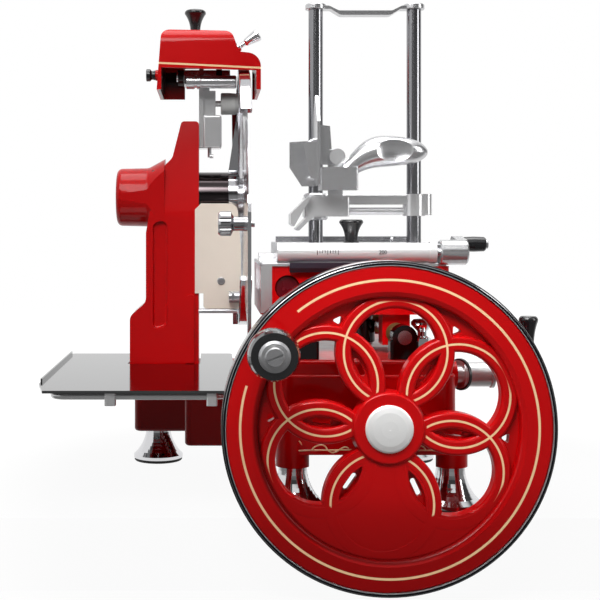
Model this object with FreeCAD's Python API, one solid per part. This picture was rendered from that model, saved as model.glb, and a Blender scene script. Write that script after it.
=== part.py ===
import FreeCAD, Part
import math
import os

V = FreeCAD.Vector
os.makedirs("parts", exist_ok=True)

# ---------------------------------------------------------------- driving sizes (mm)
# x runs across the machine, y from the flywheel to the back, z up.
# The origin is midway between the two front feet, on the standing plane.
RUN = 0.06            # radial running fit of a shaft in its bearing
SLIDE = 0.08          # radial fit of a bush or boss on a rail or post
BELT_FIT = 0.05       # belt to pulley face

# feet
FOOT_X = 88.0         # front feet at plus and minus this
FOOT_BACK = 259.0     # back feet, y
FOOT_LEFT = -250.0    # foot under the column, x
FOOT_R = 33.0         # foot base radius
FOOT_NECK = 16.0
FOOT_TOP = 47.0
PAD_T = 4.0
LEG_R = 19.0

# base box
BASE_X0, BASE_X1 = -101.0, 90.0
BASE_Y0, BASE_Y1 = -15.0, 370.0
BASE_Z0, BASE_TOP = 62.0, 166.0
WALL = 8.0
ARM_X0, ARM_XM = -279.0, -205.0
ARM_Y0, ARM_YM = 107.0, 205.0
ARM_Z0, ARM_TOP = FOOT_TOP, 133.0
ARM_Y1 = 285.0

# flywheel and its shaft
WHEEL_X, WHEEL_Z = 6.0, 103.0
WHEEL_R = 170.0
TREAD_T = 5.0
TREAD_R = WHEEL_R + TREAD_T
WHEEL_FRONT, WHEEL_BACK = -90.0, -54.0
RIM_IN = WHEEL_R - 33.0
HUB_R = 37.0
CAP_R = 25.0
SHAFT_R = 10.0
PETALS = 6
PETAL_TURN = -5.0
PETAL_AT, PETAL_W = 0.584 * RIM_IN, 8.5
PETAL_R = RIM_IN - PETAL_AT - 3.0
RIB_H = 5.0           # height of the flower ribs over the web
GRIP_AT, GRIP_TURN, GRIP_R = WHEEL_R - 19.0, 145.5, 26.0

# drive train
CROSS_Y = 245.0       # cross shaft and blade axis, y
GEAR_TEETH, PINION_TEETH = 36, 12
GEAR_R = 45.0
PINION_R = GEAR_R * PINION_TEETH / GEAR_TEETH
CROSS_R = 7.0
PULLEY_R, PULLEY_W = 22.0, 12.0
PULLEY_X = -232.0
BELT_T, BELT_W = 3.0, 10.0

# column
COL_X0, COL_X1 = -264.0, -195.0
COL_FLARE = -285.0
COL_Y0, COL_Y1 = 207.0, 285.0
COL_TOP = 453.0
BOSS_R, BOSS_END = 38.0, -304.0

# blade
BLADE_Z = 353.0
BLADE_R, BLADE_T = 159.5, 4.0
BLADE_X = -138.0      # left face of the blade
SPINDLE_R = 12.0
HOUSING_R = 33.5
GUARD_GAP = 2.5
GUARD_T = 8.0
GUARD_X0, GUARD_X1 = -144.0, -129.0
GUARD_OPEN = 38.0     # half angle of the open cutting window

# tray
TRAY_X0, TRAY_X1 = -374.0, -150.0
TRAY_Y0, TRAY_Y1 = -40.0, 318.0
TRAY_T = 3.0

# carriage, rails and table
RAIL_XS = (-75.0, 36.0)
RAIL_R, RAIL_Z = 8.0, 190.0
CAR_X0, CAR_X1 = -122.0, 96.0
CAR_Y0, CAR_Y1 = 40.0, 225.0
CAR_Z0, CAR_TOP = 212.0, 268.0
PLATE_T = 4.0
TABLE_Z0, TABLE_TOP = CAR_TOP + PLATE_T, 294.0
TABLE_X0, TABLE_X1 = -100.0, 88.0
TABLE_Y0, TABLE_Y1 = 60.0, 225.0
FEED_Y, FEED_Z = 41.0, 284.0
FEED_R = 11.0
SCREW_R = 5.0
FEED_X0, FEED_X1 = -103.0, 80.0
POST_XS = (-49.0, 73.0)
POST_Y, POST_R, POST_TOP = 140.0, 9.0, 586.0
CLAMP_Z = 341.0
TILT_X, TILT_Z = -27.0, 398.0

# slice gauge
DIAL_Y, DIAL_Z = 20.0, 146.0
ROD_R = 5.0
GAUGE_X = BLADE_X + BLADE_T

# sharpener
SHARP_Z = 506.0


# ---------------------------------------------------------------- helpers
def box(x0, x1, y0, y1, z0, z1):
    return Part.makeBox(x1 - x0, y1 - y0, z1 - z0, V(x0, y0, z0))


def cyl(at, along, r, length):
    return Part.makeCylinder(r, length, V(*at), V(*along))


def along_x(x0, x1, y, z, r):
    return cyl((x0, y, z), (1, 0, 0), r, x1 - x0)


def along_y(x, y0, y1, z, r):
    return cyl((x, y0, z), (0, 1, 0), r, y1 - y0)


def along_z(x, y, z0, z1, r):
    return cyl((x, y, z0), (0, 0, 1), r, z1 - z0)


def fuse(*shapes):
    whole = shapes[0].fuse(list(shapes[1:]))
    return whole.removeSplitter()


def rounded_box(x0, x1, y0, y1, z0, z1, r):
    """A box whose upright edges are rounded."""
    body = box(x0, x1, y0, y1, z0, z1)
    upright = [e for e in body.Edges if abs(e.tangentAt(e.FirstParameter).z) > 0.9]
    return body.makeFillet(r, upright)


def soften(body, r, pick):
    """Round the edges that pick() accepts."""
    edges = [e for e in body.Edges if pick(e)]
    return body.makeFillet(r, edges) if edges else body


def edge_at(axis, value, tol=0.01):
    """True for an edge that lies whole in one plane across the named axis."""
    def pick(e):
        lo, hi = getattr(e.BoundBox, axis + "Min"), getattr(e.BoundBox, axis + "Max")
        return abs(lo - value) < tol and abs(hi - value) < tol
    return pick


def turned(points, at, along):
    """Solid of revolution from (radius, height) points, heights along the given axis."""
    pts = [V(r, 0, h) for r, h in points]
    if points[0][0] > 0:
        pts.insert(0, V(0, 0, points[0][1]))
    if points[-1][0] > 0:
        pts.append(V(0, 0, points[-1][1]))
    face = Part.Face(Part.makePolygon(pts + [pts[0]]))
    body = face.revolve(V(0, 0, 0), V(0, 0, 1), 360)
    body.Placement = FreeCAD.Placement(V(*at), FreeCAD.Rotation(V(0, 0, 1), V(*along)))
    return body


def ring(at, along, r_out, r_in, length):
    return cyl(at, along, r_out, length).cut(cyl(at, along, r_in, length))


def plate_xz(points, y0, y1):
    """Extrude an outline of (x, z) points from y0 to y1."""
    pts = [V(x, y0, z) for x, z in points]
    return Part.Face(Part.makePolygon(pts + [pts[0]])).extrude(V(0, y1 - y0, 0))


def plate_yz(points, x0, x1):
    """Extrude an outline of (y, z) points from x0 to x1."""
    pts = [V(x0, y, z) for y, z in points]
    return Part.Face(Part.makePolygon(pts + [pts[0]])).extrude(V(x1 - x0, 0, 0))


def rounded_face(points, place):
    """A flat face through (a, b) points; a third number rounds that corner to a radius."""
    flat = [V(*place(p[0], p[1])) for p in points]
    runs = []
    for i, here in enumerate(flat):
        r = points[i][2] if len(points[i]) > 2 else 0
        back = (flat[i - 1] - here).normalize()
        ahead = (flat[(i + 1) % len(flat)] - here).normalize()
        half = back.getAngle(ahead) / 2
        middle = here + (back + ahead).normalize() * (r / math.sin(half) - r) if r else here
        runs.append((here + back * (r / math.tan(half)), middle, here + ahead * (r / math.tan(half))))
    edges = []
    for i, (start, middle, end) in enumerate(runs):
        if (end - start).Length > 0.001:
            edges.append(Part.Arc(start, middle, end).toShape())
        edges.append(Part.makeLine(end, runs[(i + 1) % len(runs)][0]))
    return Part.Face(Part.Wire(edges))


def cast_xz(points, y0, y1):
    """Extrude an (x, z) outline with rounded corners from y0 to y1."""
    return rounded_face(points, lambda a, b: (a, y0, b)).extrude(V(0, y1 - y0, 0))


def cast_yz(points, x0, x1):
    """Extrude a (y, z) outline with rounded corners from x0 to x1."""
    return rounded_face(points, lambda a, b: (x0, a, b)).extrude(V(x1 - x0, 0, 0))


def spun(points, at, along):
    """Solid of revolution from (radius, height) points, some with a rounding radius."""
    face = rounded_face([(0, points[0][1])] + list(points) + [(0, points[-1][1])], lambda a, b: (a, 0, b))
    body = face.revolve(V(0, 0, 0), V(0, 0, 1), 360)
    body.Placement = FreeCAD.Placement(V(*at), FreeCAD.Rotation(V(0, 0, 1), V(*along)))
    return body


def trumpet(at, along, r_top, r_neck, height):
    """A flared knob: narrow neck, wide rounded top."""
    lip = height * 0.84
    curve = Part.BSplineCurve()
    curve.interpolate([V(r_neck + (r_top - r_neck) * t ** 2.6, 0, lip * t) for t in (0, 0.3, 0.55, 0.8, 1)])
    crown = Part.Arc(V(r_top, 0, lip), V(r_top * 0.96, 0, height * 0.95), V(r_top * 0.78, 0, height)).toShape()
    rest = [Part.makeLine(V(r_top * 0.78, 0, height), V(0, 0, height)), Part.makeLine(V(0, 0, height), V(0, 0, 0)),
            Part.makeLine(V(0, 0, 0), V(r_neck, 0, 0))]
    body = Part.Face(Part.Wire([curve.toShape(), crown] + rest)).revolve(V(0, 0, 0), V(0, 0, 1), 360)
    body.Placement = FreeCAD.Placement(V(*at), FreeCAD.Rotation(V(0, 0, 1), V(*along)))
    return body


def put(name, shape):
    solids = shape.Solids
    shape = solids[0] if len(solids) == 1 else Part.makeCompound(solids)
    if not shape.isValid():
        raise ValueError(name + " is not valid")
    shape.exportStep("parts/" + name + ".step")
    b = shape.BoundBox
    print("%-20s solids %2d  x %.0f..%.0f  y %.0f..%.0f  z %.0f..%.0f" % (
        name, len(solids), b.XMin, b.XMax, b.YMin, b.YMax, b.ZMin, b.ZMax))


# ---------------------------------------------------------------- base
FEET = ((-FOOT_X, 0.0), (FOOT_X, 0.0), (FOOT_X, FOOT_BACK), (FOOT_LEFT, FOOT_BACK))
STUD_R = 5.0
BOLT_R = 4.0          # threaded hole under each foot
DIAL_BOSS = 98.0      # outer end of the boss that carries the dial
BUSH_R = 16.0
CROSS_WALLS = ((BASE_X0, BASE_X0 + WALL), (-211.0, -203.0))


def base_casting():
    skirt = rounded_box(BASE_X0 - 3, BASE_X1 + 3, BASE_Y0 - 3, BASE_Y1 + 3, BASE_Z0, 150, 17)
    skirt = soften(skirt, 3, edge_at("Z", 150))
    top = rounded_box(BASE_X0, BASE_X1, BASE_Y0, BASE_Y1, 100, BASE_TOP, 14)
    top = soften(top, 5, edge_at("Z", BASE_TOP))
    arm = rounded_box(ARM_X0, BASE_X0 + 5, ARM_YM, ARM_Y1, ARM_Z0, ARM_TOP, 10)
    block = rounded_box(-211, BASE_X0 + 5, ARM_Y0, ARM_Y1, ARM_Z0, ARM_TOP, 8)
    arm = soften(arm, 4, edge_at("Z", ARM_Z0))
    block = soften(block, 4, edge_at("Z", ARM_Z0))
    legs = [along_z(x, y, FOOT_TOP, 100, LEG_R) for x, y in FEET[:3]]
    boss = turned([(30, 0), (30, 5), (26, 12)], (WHEEL_X, BASE_Y0 - 3 + 6, WHEEL_Z), (0, -1, 0))
    dial = along_x(BASE_X1 - 12, DIAL_BOSS, DIAL_Y, DIAL_Z, 15)
    cup = along_z(68, 60, BASE_TOP - 2, BASE_TOP + 8, 16)
    body = fuse(skirt, top, arm, block, boss, dial, cup, *legs)
    inside = rounded_box(BASE_X0 + WALL, BASE_X1 - WALL, BASE_Y0 + WALL, BASE_Y1 - WALL,
                         -10, BASE_TOP - WALL, 8)
    keep = [along_z(x, y, FOOT_TOP, 100, LEG_R - 3) for x, y in FEET[:3]]
    pad = along_z(68, 60, BASE_TOP - 20, BASE_TOP, 12)
    front = along_y(WHEEL_X, BASE_Y0, BASE_Y0 + 22, WHEEL_Z, 26)
    hanger = box(WHEEL_X - 26, WHEEL_X + 26, 180, 196, WHEEL_Z - 24, BASE_TOP)
    stay = box(BASE_X1 - 20, BASE_X1, DIAL_Y - 13, DIAL_Y + 13, DIAL_Z - 13, BASE_TOP)
    inside = inside.cut(fuse(hanger, front)).cut(Part.makeCompound(keep + [pad, stay]))
    room_a = box(ARM_X0 + WALL, CROSS_WALLS[1][0], ARM_YM + WALL, ARM_Y1 - WALL, -10, ARM_TOP - WALL)
    post = along_z(FOOT_LEFT, FOOT_BACK, FOOT_TOP, 74, LEG_R - 2)
    post = fuse(post, box(FOOT_LEFT - 5, FOOT_LEFT + 5, FOOT_BACK, ARM_Y1, FOOT_TOP, 74),
                box(ARM_X0, FOOT_LEFT, FOOT_BACK - 5, FOOT_BACK + 5, FOOT_TOP, 74))
    room_b = box(CROSS_WALLS[1][1], BASE_X0, ARM_Y0 + WALL, ARM_Y1 - WALL, -10, ARM_TOP - WALL)
    room_a = room_a.cut(post)
    body = body.cut([inside, room_a, room_b])
    holes = [along_z(x, y, FOOT_TOP, FOOT_TOP + 26, STUD_R) for x, y in FEET]
    holes.append(along_y(WHEEL_X, -60, 15, WHEEL_Z, BUSH_R))
    holes.append(along_y(WHEEL_X, 170, 200, WHEEL_Z, BUSH_R))
    for x0, x1 in CROSS_WALLS:
        holes.append(along_x(x0 - 1, x1 + 1, CROSS_Y, WHEEL_Z, BUSH_R - 4))
    holes.append(box(-254, -212, CROSS_Y - 27, CROSS_Y + 27, ARM_TOP - WALL - 1, ARM_TOP + 1))
    holes.append(along_x(BASE_X1 - 30, DIAL_BOSS + 1, DIAL_Y, DIAL_Z, ROD_R + RUN))
    holes.append(box(-92, -64, DIAL_Y - 7, DIAL_Y + 7, BASE_TOP - WALL - 1, BASE_TOP + 1))
    holes.append(along_z(68, 60, BASE_TOP - 20, BASE_TOP + 9, 5))
    for x in RAIL_XS:
        for y in (2.0, 355.0):
            holes += [along_z(x + s * 10, y, BASE_TOP - WALL - 1, BASE_TOP + 1, 2.5) for s in (-1, 1)]
    return body.cut(holes)


def feet():
    out = []
    for x, y in FEET:
        points = [(FOOT_R, PAD_T), (FOOT_R, PAD_T + 4), (FOOT_R - 5, PAD_T + 9)]
        for i in range(1, 9):
            t = i / 8
            points.append((FOOT_NECK + (FOOT_R - 5 - FOOT_NECK) * (1 - t) ** 2.2,
                           PAD_T + 9 + (FOOT_TOP - PAD_T - 9) * t))
        stud = along_z(x, y, FOOT_TOP - 1, FOOT_TOP + 20, STUD_R)
        foot = fuse(turned(points, (x, y, 0), (0, 0, 1)), stud)
        out.append(foot.cut(along_z(x, y, 0, 24, BOLT_R)))
    return Part.makeCompound(out)


def foot_pads():
    shape = [(FOOT_R - 2, 0), (FOOT_R - 1, 1), (FOOT_R - 1, PAD_T)]
    return Part.makeCompound([turned(shape, (x, y, 0), (0, 0, 1)).cut(along_z(x, y, -1, 9, BOLT_R))
                              for x, y in FEET])


def column_casting():
    x0, x1, z0 = COL_X0, COL_X1, ARM_TOP
    side = [(COL_FLARE, z0), (COL_FLARE, z0 + 64, 12), (x0, z0 + 82, 14), (x0, 306, 16), (x0 + 8, 350, 20),
            (x0 + 22, 392, 14), (x0 + 34, 404, 14), (x0 + 46, COL_TOP, 5), (x1, COL_TOP, 5), (x1, z0)]
    edge = [(COL_Y0, z0), (COL_Y0, 330, 60), (COL_Y0 + 20, COL_TOP + 5), (COL_Y1 - 15, COL_TOP + 5),
            (COL_Y1, 330, 60), (COL_Y1, z0)]
    body = cast_xz(side, COL_Y0 - 5, COL_Y1 + 5).common(cast_yz(edge, COL_FLARE - 5, x1))
    boss = spun([(BOSS_R, 0, 7), (BOSS_R + 1, 42, 12), (BOSS_R + 13, 64)], (BOSS_END, CROSS_Y, BLADE_Z), (1, 0, 0))
    lump = cast_xz([(x1 - 17, z0 + 4), (x1 - 15, z0 + 92, 4.5), (x1 - 6, z0 + 92, 3), (x1 - 6, z0 + 4)],
                   COL_Y0 - 6, COL_Y0 + 2)
    body = fuse(body, boss.common(box(BOSS_END, x1, COL_Y0, COL_Y1, 300, 410)), lump)
    panel = cast_xz([(x0 + 9, z0 + 46, 6), (x0 + 9, 318, 8), (x0 + 28, 324, 8), (x0 + 28, z0 + 52, 8)],
                    COL_Y0 - 1, COL_Y0 + 5)
    panel = soften(panel, 3, edge_at("Y", COL_Y0 + 5))
    inside = box(x0 + WALL, x1 - WALL, COL_Y0 + 11, COL_Y1 - WALL, z0 - 1, 388)
    foot = box(COL_FLARE + WALL, x1 - WALL, COL_Y0 + 11, COL_Y1 - WALL, z0 - 1, z0 + 56)
    hollow = along_x(BOSS_END + WALL, x1 - WALL, CROSS_Y, BLADE_Z, BOSS_R - WALL)
    mouth = along_x(x1 - WALL - 1, x1 + 1, CROSS_Y, BLADE_Z, HOUSING_R - 12)
    return body.cut([panel, inside, foot, hollow, mouth])


def tray():
    z1 = ARM_TOP + TRAY_T
    plate = rounded_box(TRAY_X0, TRAY_X1, TRAY_Y0, TRAY_Y1, ARM_TOP, z1, 6)
    corner = Part.makePolygon([V(TRAY_X0 - 1, TRAY_Y0 - 1, 120), V(TRAY_X0 + 12, TRAY_Y0 - 1, 120),
                               V(TRAY_X0 - 1, TRAY_Y0 + 60, 120), V(TRAY_X0 - 1, TRAY_Y0 - 1, 120)])
    corner = Part.Face(corner).extrude(V(0, 0, 40))
    notch = box(COL_FLARE - 2, COL_X1 + 2, COL_Y0 - 8, TRAY_Y1 + 1, 120, 160)
    plate = plate.cut([corner, notch])
    rim = box(TRAY_X0, TRAY_X0 + 2, TRAY_Y0 + 68, TRAY_Y1 - 10, z1 - 1, z1 + 4)
    return fuse(plate, rim)


def tray_frame():
    r, z = 4.0, ARM_TOP - 4.0
    xa, xb, y, bend = TRAY_X0 + 22, -165.0, TRAY_Y0 + 9, 14.0
    k = bend * (1 - math.sqrt(0.5))
    path = [Part.makeLine(V(ARM_X0, 262, z), V(xa + bend, 262, z)),
            Part.Arc(V(xa + bend, 262, z), V(xa + k, 262 - k, z), V(xa, 262 - bend, z)).toShape(),
            Part.makeLine(V(xa, 262 - bend, z), V(xa, y + bend, z)),
            Part.Arc(V(xa, y + bend, z), V(xa + k, y + k, z), V(xa + bend, y, z)).toShape(),
            Part.makeLine(V(xa + bend, y, z), V(xb - bend, y, z)),
            Part.Arc(V(xb - bend, y, z), V(xb - k, y + k, z), V(xb, y + bend, z)).toShape(),
            Part.makeLine(V(xb, y + bend, z), V(xb, ARM_Y0, z))]
    spine = Part.Wire(path)
    circle = Part.Wire([Part.makeCircle(r, V(ARM_X0, 262, z), V(1, 0, 0))])
    bar = spine.makePipeShell([circle], True, False)
    clips = []
    for x in (-289.0, -178.0):
        clips.append(rounded_box(x - 6, x + 6, TRAY_Y0 + 2, TRAY_Y0 + 15, ARM_TOP - 14, ARM_TOP, 2))
    return fuse(bar, *clips)


def carriage_rails():
    return Part.makeCompound([along_y(x, -8, 365, RAIL_Z, RAIL_R) for x in RAIL_XS])


def rail_brackets():
    out = []
    for x in RAIL_XS:
        for y in (-8.0, 345.0):
            block = rounded_box(x - 16, x + 16, y, y + 20, BASE_TOP, RAIL_Z - 4, 3)
            block = fuse(block, along_y(x, y, y + 20, RAIL_Z, 14))
            screws = [along_z(x + s * 10, y + 10, BASE_TOP - WALL, BASE_TOP + 1, 2.5) for s in (-1, 1)]
            out.append(fuse(block, *screws).cut(along_y(x, y - 1, y + 21, RAIL_Z, RAIL_R)))
    return Part.makeCompound(out)


def front_bearing():
    y = BASE_Y0 - 3 - 6
    bush = ring((WHEEL_X, y, WHEEL_Z), (0, 1, 0), BUSH_R, SHAFT_R + RUN, 25)
    lip = ring((WHEEL_X, y - 3, WHEEL_Z), (0, 1, 0), BUSH_R + 5, SHAFT_R + RUN, 3)
    return fuse(bush, lip)


def rear_bearing():
    return ring((WHEEL_X, 176, WHEEL_Z), (0, 1, 0), BUSH_R, SHAFT_R + RUN, 24)


def cross_bearings():
    out = []
    for x0, x1 in CROSS_WALLS:
        out.append(ring((x0 - 4, CROSS_Y, WHEEL_Z), (1, 0, 0), BUSH_R - 4, CROSS_R + RUN, x1 - x0 + 8))
    return Part.makeCompound(out)


def spindle_housing():
    x0, x1 = COL_X1, GUARD_X0 - 1
    body = fuse(along_x(x0, x1, CROSS_Y, BLADE_Z, HOUSING_R),
                along_x(x0 - WALL, x0 + 1, CROSS_Y, BLADE_Z, HOUSING_R - 12))
    return body.cut(along_x(x0 - WALL - 1, x1 + 1, CROSS_Y, BLADE_Z, SPINDLE_R + RUN))


def oil_cup():
    z = BASE_TOP + 8
    cup = turned([(9, 0), (9, 10), (5.5, 12), (5.5, 17), (13, 25), (13, 28), (10, 31)],
                 (68, 60, z), (0, 0, 1))
    hexes = [V(68 + 11 * math.cos(math.pi * i / 3), 60 + 11 * math.sin(math.pi * i / 3), z)
             for i in range(7)]
    nut = Part.Face(Part.makePolygon(hexes)).extrude(V(0, 0, 9))
    return fuse(cup, nut, along_z(68, 60, z - 18, z + 1, 5))


def drive_belt():
    inner, outer = PULLEY_R + BELT_FIT, PULLEY_R + BELT_FIT + BELT_T
    x0 = PULLEY_X - BELT_W / 2

    def loop(r, a, b):
        return fuse(along_x(a, b, CROSS_Y, WHEEL_Z, r), along_x(a, b, CROSS_Y, BLADE_Z, r),
                    box(a, b, CROSS_Y - r, CROSS_Y + r, WHEEL_Z, BLADE_Z))
    return loop(outer, x0, x0 + BELT_W).cut(loop(inner, x0 - 1, x0 + BELT_W + 1))


# ---------------------------------------------------------------- guard, deflector
def around(y, z, r, angle):
    """A (y, z) point at a radius and angle; 0 looks along +y, 90 up."""
    a = math.radians(angle)
    return y + r * math.cos(a), z + r * math.sin(a)


def blade_guard():
    r_in = BLADE_R + GUARD_GAP
    r_out = r_in + GUARD_T
    hoop = ring((GUARD_X0, CROSS_Y, BLADE_Z), (1, 0, 0), r_out, r_in, GUARD_X1 - GUARD_X0)
    hoop = soften(hoop, 2, lambda e: edge_at("X", GUARD_X1)(e) or edge_at("X", GUARD_X0)(e))
    wedge = plate_yz([(CROSS_Y, BLADE_Z), around(CROSS_Y, BLADE_Z, 300, 180 - GUARD_OPEN),
                      around(CROSS_Y, BLADE_Z, 300, 180 + GUARD_OPEN)], GUARD_X0 - 5, GUARD_X1 + 5)
    hoop = hoop.cut(wedge)
    spokes = []
    for angle in (0, 60, -45):
        bar = box(GUARD_X0 - 6, GUARD_X0 + 1, CROSS_Y + HOUSING_R, CROSS_Y + r_out - 1,
                  BLADE_Z - 9, BLADE_Z + 9)
        bar.rotate(V(0, CROSS_Y, BLADE_Z), V(1, 0, 0), angle)
        spokes.append(bar)
    collar = along_x(GUARD_X0 - 12, GUARD_X0, CROSS_Y, BLADE_Z, HOUSING_R + 3.5)
    base, top = BLADE_Z + HOUSING_R, STONE_Z - 24
    spokes.append(plate_xz([(GUARD_X0 - 12, base), (GUARD_X0 + 1, base), (GUARD_X0 + 1, top),
                            (GUARD_X0 - 2, top)], CROSS_Y - 4, CROSS_Y + 4))
    low = box(GUARD_X0 - 6, GUARD_X0 + 1, CROSS_Y - 9, CROSS_Y + 9, BLADE_Z - r_in - 7, BLADE_Z - HOUSING_R)
    body = fuse(hoop, collar, low, *spokes)
    core = along_x(GUARD_X0 - 13, GUARD_X0 - 1, CROSS_Y, BLADE_Z, HOUSING_R)
    return body.cut([core, along_x(GUARD_X0 - 2, GUARD_X0 + 1, CROSS_Y, BLADE_Z, HOUSING_R)])


DEFLECT_Y0 = COL_Y0 - 3.5
DEFLECT_X1 = BLADE_X - 2.0


def deflector_plate():
    x0, x1, z0, z1 = -200.0, DEFLECT_X1, 207.0, 344.0
    outline = [(x0, z0 + 20), (x0, z1 - 8), (x0 + 8, z1), (x1 - 12, z1), (x1 - 6, z1 - 4), (x1 - 4, z1 - 10),
               (x1, z1 - 60), (x1, z0), (x0 + 14, z0), (x0 + 11, z0 + 3), (x0 + 11, z0 + 20)]
    plate = plate_xz(outline, DEFLECT_Y0, COL_Y0)
    return plate.cut(along_y(-166, DEFLECT_Y0 - 1, COL_Y0 + 1, 243, 3))


def deflector_fixings():
    y = COL_Y0
    block = rounded_box(COL_X1, -158, y, y + 9, 232, 254, 2)
    screw = fuse(along_y(-166, DEFLECT_Y0, y + 1, 243, 3),
                 turned([(5, 0), (5, 1.2), (3.8, 2.4)], (-166, DEFLECT_Y0, 243), (0, -1, 0)))
    screw = screw.cut(box(-171, -161, DEFLECT_Y0 - 4, DEFLECT_Y0 - 1.4, 242.4, 243.6))
    barrel = along_x(-156, DEFLECT_X1 - 1, DEFLECT_Y0 - 7.5, 223, 7.5)
    barrel = barrel.cut([box(-152, -149, DEFLECT_Y0 - 16, DEFLECT_Y0 - 13, 214, 232),
                         box(-156, -140, DEFLECT_Y0 - 16, DEFLECT_Y0 - 13.4, 222.4, 223.6)])
    rod = along_x(COL_X1, DEFLECT_X1 - 4, y - 1.5, 204, 3)
    return Part.makeCompound([fuse(block, screw), barrel, rod])


# ---------------------------------------------------------------- sharpener
PIVOT_Y = 282.0
PIVOT_Z = BLADE_Z + BLADE_R + 7.5
STONE_Z = BLADE_Z + BLADE_R - 34.5
STONE_X0, STONE_X1 = -166.0, BLADE_X - 4.0
BAR_Y, BAR_Z = 212.0, PIVOT_Z - 17.0


def sharpener_bracket():
    x, back = COL_X1, PIVOT_Y + 12
    plate = cast_yz([(228, 418, 4), (262, 418, 4), (268, 440, 10), (back, PIVOT_Z - 14, 10), (back, PIVOT_Z + 8, 8),
                     (PIVOT_Y - 10, PIVOT_Z + 14, 6), (228, PIVOT_Z - 20, 6)], x, x + 6)
    block = cast_xz([(x + 6, 418), (x + 30, 418, 3), (x + 30, STONE_Z - 17, 3), (x + 6, STONE_Z - 17)], 226, 258)
    block = soften(block, 2.5, edge_at("Y", 226))
    head = box(x + 6, x + 22, 232, 258, STONE_Z - 17.5, PIVOT_Z - 26)
    hook = fuse(along_z(x + 14, 240, 406, 419, 2.5), along_x(x + 14, x + 19, 240, 407.5, 2.5))
    stub = along_x(x + 21, STONE_X1 - 5, 245, STONE_Z, 4)
    body = fuse(plate, block, head, hook, stub)
    return body.cut(along_x(x - 1, x + 7, PIVOT_Y, PIVOT_Z, 8.5))


def sharpener_arm():
    bar = along_x(-226, -153, PIVOT_Y, PIVOT_Z, 8.5)
    low = spun([(6.5, 0, 1), (9.5, 3, 1.5), (9.5, 13), (7.8, 14), (7.8, 16), (9.5, 17), (9.5, 21), (8.5, 22),
                (8.5, 68, 2)], (COL_X1 - 19, BAR_Y, BAR_Z), (1, 0, 0))
    lug = box(COL_X1 + 6, COL_X1 + 14, BAR_Y, 233, BAR_Z - 9, BAR_Z + 9)
    return Part.makeCompound([bar, fuse(low, lug)])


def sharpener_stone():
    wheel = turned([(13.5, 0), (14.5, 1.5), (14.5, STONE_X1 - STONE_X0 - 5), (12, STONE_X1 - STONE_X0)],
                   (STONE_X0, 245, STONE_Z), (1, 0, 0))
    return wheel.cut(along_x(STONE_X0 - 1, STONE_X1 + 1, 245, STONE_Z, 4 + RUN))


COVER_X0, COVER_X1 = -249.0, -115.0
COVER_Y0, COVER_Y1 = 184.0, 302.0
COVER_Z0, COVER_Z1 = PIVOT_Z - 30.0, PIVOT_Z + 50.0
COVER_T = 4.0
EAR_XS = (-224.0, -172.0)
LEVER_AT = V(COVER_X1 - 30.0, 240.0, COVER_Z1 - 18.5)
LEVER_DIR = V(math.cos(math.radians(32)), 0.0, math.sin(math.radians(32)))
LATCH_AT = (COVER_X0 + 2.0, 200.0, PIVOT_Z - 10.0)


def cover_outline(gap):
    x0, x1, z0, z1 = COVER_X0 + gap, COVER_X1 - gap, COVER_Z0 - gap * 3, COVER_Z1 - gap
    return [(x0, z0), (x0 + 6, z1, 12 - gap), (x1 - 38, z1 - 3, 12 - gap), (x1 - 28, z1 - 31, 6 + gap),
            (x1, z1 - 34, 18 - gap), (x1, z0)]


def cover_side(gap):
    y0, y1, z0, z1 = COVER_Y0 + gap, COVER_Y1 - gap, COVER_Z0 - 20, COVER_Z1 - gap
    return [(y0, z0), (y0 + 4, z1 + 1, 20 - gap), (y1 - 4, z1 + 1, 24 - gap), (y1, z0)]


def cover_form(gap):
    """The hood's outer form, or its inside when a wall thickness is given."""
    return cast_xz(cover_outline(gap), COVER_Y0 - 5, COVER_Y1 + 5).common(
        cast_yz(cover_side(gap), COVER_X0 - 5, COVER_X1 + 5))


def sharpener_cover():
    outer, inner = cover_form(0), cover_form(COVER_T)
    shell = outer.cut(inner)
    ears = []
    for x in EAR_XS:
        ear = fuse(box(x, x + 8, PIVOT_Y - 12, PIVOT_Y + 8, PIVOT_Z, COVER_Z1 - 2),
                   along_x(x, x + 8, PIVOT_Y, PIVOT_Z, 14))
        ears.append(ear.common(outer))
    lever_boss = cyl(LEVER_AT - LEVER_DIR * 14, LEVER_DIR, 7.5, 14.5).cut(inner)
    latch_boss = along_x(COVER_X0 - 2, COVER_X0 + 6, LATCH_AT[1], LATCH_AT[2], 7).cut(inner)
    shell = fuse(shell, lever_boss, latch_boss, *ears)
    cuts = [along_x(x - 1, x + 9, PIVOT_Y, PIVOT_Z, 8.5 + RUN) for x in EAR_XS]
    cuts.append(box(-160, -122, COVER_Y1 - 12, COVER_Y1 + 5, COVER_Z0 - 12, PIVOT_Z + 20))
    cuts.append(box(-215, -160, COVER_Y1 - 8, COVER_Y1 + 5, COVER_Z0 - 12, PIVOT_Z + 12))
    cuts.append(plate_xz([(COVER_X0 + 6, COVER_Z0 - 20), (COVER_X0 + 6, PIVOT_Z - 1.5),
                          (COVER_X1 - 6, PIVOT_Z - 5), (COVER_X1 - 6, COVER_Z0 - 20)],
                         COVER_Y0 - 5, COVER_Y0 + 7.5))
    cuts.append(along_x(COVER_X0 - 3, COVER_X0 + 10, LATCH_AT[1], LATCH_AT[2], 2.5))
    return shell.cut(cuts)


def cover_knob():
    x, y = -200.0, 245.0
    return fuse(trumpet((x, y, COVER_Z1 + 1), (0, 0, 1), 14, 6.5, 32),
                spun([(13, -3), (13, 2, 1)], (x, y, COVER_Z1), (0, 0, 1))).cut(cover_form(0))


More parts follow.
